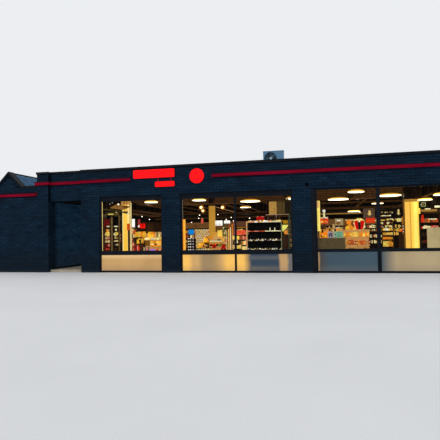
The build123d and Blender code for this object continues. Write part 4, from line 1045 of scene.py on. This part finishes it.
# a pale hung box, its right half a darker copy as painted shade
stock.box(2.46, 2.81, -3.0, -2.5, 2.38, 2.98, (196, 152, 78), 0.008)
stock.box(2.812, 3.16, -3.0, -2.5, 2.37, 2.97, (92, 74, 38), 0.008)
for x0, x1, z0, z1 in ((2.50, 2.72, 2.49, 2.50), (2.58, 2.60, 2.66, 2.70), (2.70, 2.72, 2.58, 2.66),
                       (2.88, 2.96, 2.55, 2.57)):
    stock.box(x0, x1, -3.004, -3.0, z0, z1, (108, 74, 30), 0.001)
for x in (2.5, 3.12):
    fit.rod(x, -2.75, 2.97, 0.006, "dark")
fit.box(2.385, 2.45, -3.02, -2.5, 2.36, 3.02, "black", 0.006)
fit.rod(2.42, -2.75, 3.0, 0.006, "dark")
hung(3.20, 3.50, -2.9, 2.40, 3.0, (44, 38, 24), shape=fit, thick=0.4)
hung(2.12, 2.46, -4.8, 2.02, 2.20, (186, 22, 14))
packets(2.14, 2.44, -4.80, 2.20, 0.03, "pink red beige", 139, (0.04, 0.08), 0.6)
hung(1.06, 1.50, -4.0, 1.46, 1.67, (236, 92, 62))
rackLow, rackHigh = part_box("display_rack")
rackBays = 5
pitch = (rackHigh.z - rackLow.z - 0.03) / rackBays
edgeTones = {1: "beige grey umber pale", 2: "grey umber beige pale", 3: "beige umber grey white",
             4: "rust pink rust", 5: "beige pink butter white"}
for level in range(rackBays + 1):
    shelf = rackLow.z + level * pitch + 0.03
    pick = random.Random(170 + level)
    x = rackLow.x + 0.03
    while x < rackHigh.x - 0.06:                # price rail: short pieces, paler at the right end
        w = pick.uniform(0.05, 0.14)
        right = x > rackLow.x + 0.72
        tone = "pale" if (level in (4, 5) and right) else some(pick, edgeTones.get(level, "grey umber"))
        stock.box(x, min(x + w, rackHigh.x - 0.03), rackLow.y - 0.008, rackLow.y, shelf - 0.034,
                  shelf - 0.002 + pick.uniform(-0.006, 0.01), tinge(tone, 0.9), 0.002)
        x += w + 0.002
    if level == rackBays:
        packets(rackLow.x, rackHigh.x, rackLow.y + 0.03, shelf, 0.06, "beige butter pink white khaki", 140,
                (0.04, 0.09), 0.6)
        bottles(rackLow.x + 0.75, rackHigh.x - 0.02, rackLow.y + 0.2, shelf, 0.24, "black dark umber", 141)
        continue
    bottles(rackLow.x + 0.045, rackHigh.x - 0.05, rackLow.y + 0.13, shelf, 0.31, "black", 150 + level)
    if level < 4:
        rounds(rackLow.x + 0.05, rackHigh.x - 0.05, rackLow.y + 0.05, shelf, 0.02,
               "beige white umber khaki black black", 160 + level)
top, front = rackLow.z + 4 * pitch, rackLow.y
for x in (2.83, 3.02):
    stock.tube((x, front + 0.05, top + 0.03), (x, front + 0.05, top + 0.15), 0.018, 8, "pale", tip=0.012)
for x0, x1, tone in ((rackLow.x - 0.004, rackLow.x + 0.036, (206, 160, 108)),
                     (rackHigh.x - 0.04, rackHigh.x - 0.006, (116, 116, 84))):
    stock.box(x0, x1, front - 0.014, front - 0.002, 0.84, rackHigh.z, tone, 0.004)      # its two uprights
fit.box(2.62, 3.56, -5.62, -5.58, 2.235, 2.265, (196, 150, 120), 0.006)
for x in (2.66, 3.08, 3.5):
    fit.rod(x, -5.6, 2.26)
stock.box(3.04, 3.07, -5.63, -5.61, 2.06, 2.24, (150, 140, 126), 0.004)
fit.box(3.60, 3.66, -6.42, -6.36, floorZ, 2.2, (60, 72, 56), 0.008)
fit.box(3.52, 3.76, -6.5, -6.28, floorZ, floorZ + 0.04, "dark", 0.01)
hung(3.27, 3.49, -5.4, 1.89, 2.02, (186, 134, 12))
hung(3.27, 3.49, -5.42, 1.845, 1.865, "umber", shape=fit)
fit.tube((3.47, -5.78, floorZ), (3.47, -5.78, 1.84), 0.012, 8, "dark")
stock.prism([(3.29, 1.82), (3.53, 1.82), (3.53, 1.76), (3.33, 1.55), (3.29, 1.58)], -5.8, -5.78, (246, 240, 116))
stock.ball((3.44, -5.81, 1.52), 0.075, 0.06, 0.08, (240, 146, 50), 9, 14)
fit.box(3.32, 3.58, -5.76, -5.72, floorZ, 1.44, "umber", 0.01)
stand(1.48, 1.74, -5.0, -4.7, 1.46, (0.80, 1.02, 1.24), "umber")
for z, tones, seed in ((0.80, "butter rust cream", 174), (1.02, "red cream amber", 175),
                       (1.24, "rust pink beige", 176)):
    packets(1.50, 1.72, -4.99, z, 0.19, tones, seed, (0.04, 0.07))
stand(1.05, 1.47, -4.9, -4.55, 1.44, (0.86, 1.05, 1.25), "beige")
for z, tones, seed in ((0.86, "butter cream rust", 171), (1.05, "beige umber rust", 172),
                       (1.25, "cream rust butter", 173)):
    packets(1.08, 1.45, -4.88, z, 0.17, tones, seed, (0.04, 0.08))
stock.ball((1.27, -4.94, 1.16), 0.055, 0.04, 0.075, "pale", 8, 12)
stock.ball((1.27, -4.94, 1.06), 0.06, 0.04, 0.03, "black", 7, 12)
stock.box(1.22, 1.42, -4.95, -4.91, 0.87, 1.0, "butter", 0.008)
print("window 2 fitted")

# window 3
hung(4.76, 5.13, -4.0, 1.88, 2.10, (232, 74, 26))
packets(4.77, 5.12, -4.03, 2.10, 0.06, "white pale cream", 180, (0.08, 0.16), 0.3)
for x, z, r, tone in ((4.86, 1.95, 0.06, "butter"), (5.0, 1.97, 0.05, "orange"), (4.96, 2.08, 0.05, "deepRed"),
                      (5.07, 1.93, 0.05, "pink")):
    stock.ball((x, -4.015, z), r, 0.02, r * 0.8, tone, 7, 12)
stock.tube((4.955, -4.0, 2.16), (4.955, -4.0, 2.42), 0.045, 14, "pale", tip=0.035)
stock.ball((4.955, -4.0, 2.43), 0.07, 0.07, 0.055, "white", 8, 14)
fit.rod(4.955, -4.0, 2.46, 0.006, "brown")
fit.box(4.74, 7.3, 4.9, 5.06, 2.64, 2.76, (196, 150, 78), 0.01)
stock.box(6.24, 6.69, 4.8, 4.9, 2.95, 3.035, (136, 100, 58), 0.01)
for x in (4.9, 6.0, 7.1):
    fit.rod(x, 4.98, 2.75, 0.012)
stand(5.46, 5.84, -2.0, -1.7, 2.15, (1.2, 1.5, 1.8), "khaki")
stock.box(5.47, 5.83, -2.02, -2.0, 1.82, 2.14, (176, 158, 108), 0.006)
stock.box(5.55, 5.72, -2.03, -2.02, 2.02, 2.08, "white", 0.004)
stock.box(5.52, 5.70, -2.03, -2.02, 1.86, 1.98, "wood", 0.004)
for z, seed in ((1.2, 181), (1.5, 182)):
    packets(5.49, 5.81, -1.98, z, 0.28, "beige cream white amber", seed, (0.08, 0.14))
table(5.84, 6.24, -3.3, -2.9, 1.52, "brown")
for x, z, r, tone in ((6.03, 1.93, 0.105, "orange"), (6.03, 1.93, 0.06, "yellow"), (5.99, 1.66, 0.12, "yellow"),
                      (6.12, 1.65, 0.12, "orange"), (6.22, 1.62, 0.07, "butter"), (5.92, 1.60, 0.07, "amber"),
                      (6.06, 1.78, 0.08, "amber")):
    stock.ball((x, -3.12 - 0.4 * (tone == "yellow" and r < 0.1) * r, z), r, r * 0.9, r, tone, 10, 18)
for k in range(12):
    stock.ball((5.90 + 0.035 * k, -3.05, 2.02 + 0.012 * math.sin(1.7 * k)), 0.02, 0.02, 0.03,
               "cream" if k % 2 else "beige", 6, 8)
fit.box(5.86, 6.30, -3.04, -3.0, 1.52, 2.02, tinge("wood", 0.8), 0.006)
table(6.26, 6.8, -3.3, -2.8, 1.52, "umber")
arch = {"x": 6.475, "y": -3.08, "z": 1.86, "radius": 0.2, "steps": 16}
turns = [math.pi * k / arch["steps"] for k in range(arch["steps"] + 1)]
ends = [(arch["x"] - arch["radius"] * math.cos(t), arch["y"],
         arch["z"] + arch["radius"] * math.sin(t)) for t in turns]
for k, (a, b) in enumerate(zip(ends, ends[1:])):      # cream arch over two red halves
    stock.tube(a, b, 0.05, 10, "butter" if k % 3 else "pale")
for side in (-1, 1):
    stock.tube((6.475 + side * 0.2, -3.08, 1.88), (6.475 + side * 0.13, -3.08, 1.53), 0.035, 10, "cream")
    stock.tube((6.475 + side * 0.145, -3.12, 1.94), (6.475 + side * 0.085, -3.12, 1.54), 0.075, 16, (216, 8, 14),
               tip=0.045)
    stock.ball((6.475 + side * 0.145, -3.12, 1.93), 0.075, 0.075, 0.07, (226, 20, 22), 9, 16)
stock.ball((6.475, -3.14, 1.98), 0.045, 0.04, 0.06, "pale", 8, 12)
fit.box(6.43, 6.52, -3.1, -3.06, 1.53, 1.93, (26, 26, 14), 0.01)
hung(7.01, 7.60, 1.0, 2.24, 2.74, (92, 74, 58))
arrow = [(7.33, 2.35), (7.45, 2.46), (7.38, 2.46), (7.385, 2.60), (7.36, 2.63), (7.30, 2.63), (7.275, 2.60),
         (7.28, 2.46), (7.21, 2.46)]
stock.prism(arrow, 0.985, 0.998, (250, 214, 128))
hung(7.13, 7.60, 0.9, 1.97, 2.235, (226, 58, 22))
for k in range(6):
    stock.box(7.16 + 0.07 * k, 7.20 + 0.07 * k, 0.894, 0.899, 2.02 + 0.03 * (k % 3), 2.09 + 0.03 * (k % 3),
              (238, 92, 34), 0.001)
stock.ball((7.60, 0.8, 2.085), 0.035, 0.03, 0.035, "pale", 7, 12)
fit.rod(7.60, 0.8, 2.12, 0.004)
stand(6.9, 7.9, 0.5, 0.85, 1.9, (0.9, 1.2, 1.5, 1.7), "dark")
for z, seed in ((0.9, 184), (1.2, 185), (1.5, 186), (1.7, 199)):
    packets(6.93, 7.87, 0.53, z, 0.17, "brown umber pale rust olive beige", seed, (0.05, 0.12))
fit.box(4.64, 5.78, -4.85, -4.65, floorZ, 1.26, (112, 94, 64), 0.012)           # counter
fit.box(4.62, 5.80, -4.87, -4.63, 1.24, 1.27, (140, 116, 78), 0.006)
for k in range(14):
    x = 4.70 + 0.075 * k
    fit.box(x, x + 0.012, -4.856, -4.85, 0.2, 1.22, (84, 70, 48))
for x0, x1, y, z0, z1 in ((9.24, 9.437, -4.6, 2.383, 2.502), (9.094, 9.312, -3.6, 2.334, 2.448),
                          (9.014, 9.114, -3.0, 2.304, 2.378)):
    # strips of light in the far aisle
    lit.box(x0, x1, y, y + 0.03, z0 + 0.02, z1 - 0.02, (255, 244, 190), 0.015)
    fit.rod((x0 + x1) / 2, y + 0.015, z1 - 0.02, 0.005)
fit.box(8.79, 9.42, -4.2, -4.14, 2.27, 2.36, (214, 160, 76), 0.006)
for x in (8.84, 9.38):
    fit.rod(x, -4.17, 2.35)
packets(8.08, 9.32, 3.13, 0.22, 0.36, "amber brown orange umber", 204, (0.12, 0.24))
packets(8.08, 9.32, 3.13, 0.64, 0.34, "orange butter amber rust", 205, (0.1, 0.2))
fit.box(8.07, 9.33, 3.1, 3.48, 0.62, 0.64, "umber")
for k in range(10):
    pick = random.Random(460 + k)
    stock.ball((4.79 + 0.24 * pick.random(), -4.76, 1.30 + 0.28 * pick.random()), 0.05, 0.05, 0.045,
               some(pick, "orange yellow butter amber orange umber"), 8, 12)
stock.box(4.76, 5.04, -4.74, -4.66, 1.27, 1.50, "orange", 0.01)
packets(4.78, 4.93, -4.7, 1.27, 0.38, "yellow umber", 187, (0.05, 0.08))
packets(5.04, 5.56, -4.68, 1.27, 0.40, "amber orange beige umber", 188, (0.06, 0.1), 0.15)
stock.box(5.08, 5.31, -4.86, -4.84, 1.27, 1.525, (158, 152, 164), 0.004)
for x0, x1, z0, z1 in ((5.12, 5.18, 1.31, 1.41), (5.20, 5.27, 1.31, 1.39), (5.14, 5.26, 1.40, 1.46)):
    stock.box(x0, x1, -4.866, -4.86, z0, z1, (70, 62, 66), 0.002)
stock.box(5.33, 5.70, -4.86, -4.84, 1.27, 1.525, (138, 182, 150), 0.004)
for k in range(4):
    stock.box(5.44, 5.67 - 0.05 * (k % 2), -4.868, -4.86, 1.31 + 0.05 * k, 1.33 + 0.05 * k, (54, 130, 92), 0.002)
stock.ball((5.385, -4.866, 1.40), 0.03, 0.006, 0.03, (40, 74, 60), 7, 14)
table(4.7, 6.9, 3.0, 3.5, 1.15, "dark")
packets(4.75, 6.85, 3.05, 1.15, 0.9, "amber umber butter beige brown orange", 189, (0.08, 0.2), 0.5)
for k in range(9):
    stock.ball((5.0 + 0.2 * k, 2.98, 1.22 + 0.08 * (k % 3)), 0.1, 0.08, 0.09,
               ("amber", "butter", "orange", "rust")[k % 4], 8, 12)
hung(8.97, 9.29, -3.0, 2.48, 2.76, (30, 46, 16))
for x0, x1, z0, z1 in ((9.08, 9.25, 2.545, 2.565), (9.08, 9.25, 2.695, 2.715), (9.08, 9.10, 2.565, 2.695),
                       (9.23, 9.25, 2.565, 2.695)):
    stock.box(x0, x1, -3.01, -3.0, z0, z1, (226, 220, 158), 0.002)
stock.prism([(9.03, 2.63), (9.08, 2.66), (9.08, 2.60)], -3.01, -3.0, (206, 226, 170))
stock.ball((9.155, -3.005, 2.635), 0.032, 0.01, 0.025, (190, 120, 60), 7, 14)
stock.box(8.48, 9.13, -2.53, -2.505, 2.80, 2.92, (196, 146, 60), 0.008)
hung(8.37, 9.14, 5.0, 2.60, 2.90, (70, 52, 36), shape=fit)
for k in range(7):
    stock.ball((8.45 + 0.1 * k, 4.97, 2.72 + 0.07 * math.sin(1.9 * k)), 0.04, 0.02, 0.045,
               tinge("beige" if k % 2 else "cream", 0.8), 6, 10)
packets(8.26, 8.86, 4.0, 2.41, 0.07, "cream white beige", 200, (0.06, 0.14), 0.3)
fit.box(8.24, 8.88, 3.98, 4.3, 2.38, 2.41, "umber", 0.004)
for x in (8.26, 8.86):
    fit.box(x - 0.02, x + 0.02, 4.1, 4.16, floorZ, 2.38, "umber")
hung(8.88, 9.33, 3.0, 2.32, 2.80, (34, 24, 18), shape=fit)
arrow = [(9.095, 2.42), (9.20, 2.53), (9.14, 2.53), (9.145, 2.70), (9.12, 2.75), (9.07, 2.75), (9.045, 2.70),
         (9.05, 2.53), (8.99, 2.53)]
stock.prism(arrow, 2.985, 2.998, (250, 222, 140))
stand(8.05, 9.35, 3.1, 3.5, 2.32, (1.05, 1.3, 1.55, 1.72, 1.9, 2.1), "amber")
for z, tones, seed in ((1.05, "amber orange", 190), (1.3, "amber butter cream", 191),
                       (1.55, "butter white orange", 192)):
    packets(8.08, 9.32, 3.13, z, 0.16, tones, seed, (0.07, 0.16))
for z, tones, seed in ((1.72, "butter pale butter umber", 193), (1.9, "cream umber butter pale deepRed", 194),
                       (2.1, "beige brown pale butter umber", 201)):
    rounds(8.07, 9.33, 3.14, z, 0.05, tones, seed)
    rounds(8.11, 9.33, 3.24, z + 0.06, 0.045, tones, seed + 5)
packets(9.0, 9.22, 2.9, 2.0, 0.24, "butter cream", 202, (0.09, 0.12), 0.05)
fit.box(8.98, 9.24, 2.88, 3.06, floorZ, 2.0, "umber", 0.006)
for k in range(7):
    stock.ball((9.02, 1.02, 1.40 + 0.072 * k), 0.05, 0.04, 0.036, "white" if k % 2 else "dark", 7, 12)
fit.box(8.95, 9.09, 1.0, 1.1, floorZ, 1.36, "umber", 0.006)
packets(8.86, 9.05, 1.5, 1.42, 0.2, "yellow orange red", 203, (0.06, 0.1))
stand(8.60, 9.05, 1.7, 2.0, 2.02, (1.30, 1.50, 1.70), "umber")
for z, tones, seed in ((1.30, "amber rust butter", 226), (1.50, "butter umber amber", 227),
                       (1.70, "cream umber rust butter", 228)):
    packets(8.62, 9.03, 1.72, z, 0.17, tones, seed, (0.05, 0.09), 0.4)
fit.box(8.84, 9.04, 1.48, 1.62, floorZ, 1.48, "umber", 0.006)
stand(8.8, 9.5, -4.1, -3.8, 2.2, (1.0, 1.3, 1.58, 1.83), "dark")
for z, tones, seed in ((1.0, "umber deepRed", 195), (1.3, "dark umber", 196), (1.58, "red pink pink pale", 197),
                       (1.83, "rust orange umber rust khaki", 198)):
    packets(8.82, 9.48, -4.08, z, 0.2 if z > 1.8 else 0.13, tones, seed, (0.04, 0.08), 0.4)
stock.box(9.10, 9.42, -4.115, -4.10, 1.94, 1.985, "pale", 0.004)
stock.box(8.84, 8.92, -4.14, -4.10, 1.83, 2.14, (234, 48, 26), 0.008)
# round lamps far back in the shop, and beyond the end of the first row
far = Shape()
for x, y, z, size in ((6.69, 3.3, 2.69, 0.355), (9.28, -2.8, 2.83, 0.31), (9.2, -5.8, 2.80, 0.27)):
    far.tube((x, y, z), (x, y, z + 0.02), size * 0.94, 36, (255, 240, 200), tip=size)
    # an amber ring round the lamp: painted glow of its halo
    far.tube((x, y, z + 0.02), (x, y, z + 0.07), size * 0.99, 36, (255, 190, 70), tip=size * 0.8)
    for side in (-0.5, 0.5):
        far.rod(x + side * size, y, z + 0.06, 0.005, "soot")
far.build("far_lamps", "lit_parts", "lamp")
print("window 3 fitted")

# the back of the shop: wall units with a brown band above them
for k, x in enumerate((-6.4, -4.2, -2.0, 0.2, 2.4, 4.6, 6.8)):
    stand(x, x + 2.1, 6.25, 6.6, 1.95, (0.6, 0.95, 1.3, 1.62), "umber")
    for row, z in enumerate((0.6, 0.95, 1.3, 1.62)):
        packets(x + 0.05, x + 2.05, 6.28, z, 0.26, "amber brown beige rust umber khaki deepRed", 210 + 7 * k + row,
                (0.06, 0.14))
fit.box(-6.5, 9.4, 6.55, 6.66, 1.97, 2.36, (150, 104, 56), 0.01)
fit.box(-6.5, 9.4, 6.54, 6.55, 2.33, 2.36, (186, 138, 84), 0.002)
for k in range(14):
    fit.box(-6.2 + 1.12 * k, -6.14 + 1.12 * k, 6.53, 6.55, 1.99, 2.32, (96, 62, 32), 0.004)
stock.build("shop_stock", "shop_goods")
lit.build("lit_boards", "bright_board")
fit.build("shop_fittings", "dim_fittings")
print("back of the shop fitted")

# small things on the outside

details = Shape()
caseLow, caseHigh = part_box("ac_case")
fanLow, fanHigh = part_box("ac_fan")
fanX, fanZ = (fanLow.x + fanHigh.x) / 2, (fanLow.z + fanHigh.z) / 2
for near, far, radius, tone in ((0.009, 0.002, 0.06, (176, 204, 220)),        # the fan's hub
                                (0.006, 0.001, 0.095, (40, 60, 72))):
    details.tube((fanX, caseLow.y - near, fanZ), (fanX, caseLow.y - far, fanZ), radius, 28, tone)
for x, z in itertools.product((caseLow.x + 0.03, caseHigh.x - 0.03), (caseLow.z + 0.05, caseHigh.z - 0.06)):
    details.tube((x, caseLow.y + 0.012, z), (x, caseLow.y + 0.006, z), 0.008, 6, (120, 126, 132))
for k in range(9):                               # cooling fins at the back of the case
    z = caseLow.z + 0.1 + 0.06 * k
    details.box(caseLow.x + 0.06, caseHigh.x - 0.25, caseHigh.y - 0.008, caseHigh.y - 0.002, z, z + 0.03,
                (110, 116, 122))
details.box(caseHigh.x - 0.012, caseHigh.x - 0.004, caseLow.y + 0.16, caseLow.y + 0.30, caseLow.z + 0.08,
            caseLow.z + 0.3, (150, 158, 166), 0.003)
x = caseHigh.x - 0.006
for z, r in ((4.2, 0.012), (4.24, 0.018)):       # insulated pipes down to the roof
    details.tube((x, caseLow.y + 0.23, z + 0.08), (x, caseLow.y + 0.27, roofTop), r, 10, (36, 38, 40))
details.build("cooler_details", "cooler_parts", "pale_metal")
sockets = Shape()
for x, z in ((2.72, 3.46), (3.75, 3.47)):        # two small sockets on the fascia
    sockets.box(x - 0.03, x + 0.03, frontY - 0.03, frontY - 0.001, z - 0.025, z + 0.025, (44, 52, 62), 0.006)
    sockets.tube((x, frontY - 0.03, z), (x, frontY - 0.036, z), 0.014, 12, (20, 24, 30))
sockets.build("fascia_sockets", "socket_plastic", "dark_plastic")
print("outside details added")


# floor, backdrop, light and camera

studio = {"radius": 160, "sides": 64}
turns = [2 * math.pi * k / studio["sides"] for k in range(studio["sides"])]
ground = bpy.data.meshes.new("studio_floor")
ground.from_pydata([(studio["radius"] * math.cos(t), studio["radius"] * math.sin(t), 0.0) for t in turns], [],
                   [tuple(range(studio["sides"]))])
floorObject = bpy.data.objects.new("studio_floor", ground)
bpy.context.scene.collection.objects.link(floorObject)
ground.materials.append(looks["studio_floor"])

world = bpy.data.worlds.new("studio")
bpy.context.scene.world = world
world.use_nodes = True
sky = world.node_tree
feed(sky, sky.nodes["Background"].inputs["Color"], (*tinge((236, 238, 241)), 1))
soft = node(sky, "Background", {"Color": (0.96, 0.98, 1.0, 1), "Strength": 0.85})
seen = node(sky, "LightPath", out="Is Camera Ray")
feed(sky, sky.nodes["World Output"].inputs["Surface"],
     node(sky, "MixShader", {0: seen, 1: soft, 2: sky.nodes["Background"].outputs[0]}))

key = bpy.data.objects.new("key_light", bpy.data.lights.new("key_light", "SUN"))
key.data.energy = 0.5
key.data.angle = math.radians(40)
key.data.color = (1.0, 0.99, 0.97)
key.rotation_euler = (math.radians(48), 0, math.radians(-28))
bpy.context.scene.collection.objects.link(key)

view = {"place": Vector((4.865, -23.56, 1.444)), "yaw": 13.06, "pitch": 2.00, "roll": -0.98, "focal": 36.0}
(cy, sy), (cp, sp), (cr, sr) = ((math.cos(turn), math.sin(turn)) for turn in (
    math.radians(view[name]) for name in ("yaw", "pitch", "roll")))
forward, sideways = Vector((-sy * cp, cy * cp, sp)), Vector((cy, sy, 0))
upwards = sideways.cross(forward)
axes = (cr * sideways + sr * upwards, cr * upwards - sr * sideways, -forward)
cameraData = bpy.data.cameras.new("photo_camera")
cameraData.sensor_width = 36.0
cameraData.sensor_fit = "HORIZONTAL"
cameraData.lens = view["focal"]
cameraData.clip_end = 500
camera = bpy.data.objects.new("photo_camera", cameraData)
camera.matrix_world = Matrix.Translation(view["place"]) @ Matrix(axes).transposed().to_4x4()
bpy.context.scene.collection.objects.link(camera)
bpy.context.scene.camera = camera
bpy.context.scene.view_settings.view_transform = "Standard"

print("scene complete")
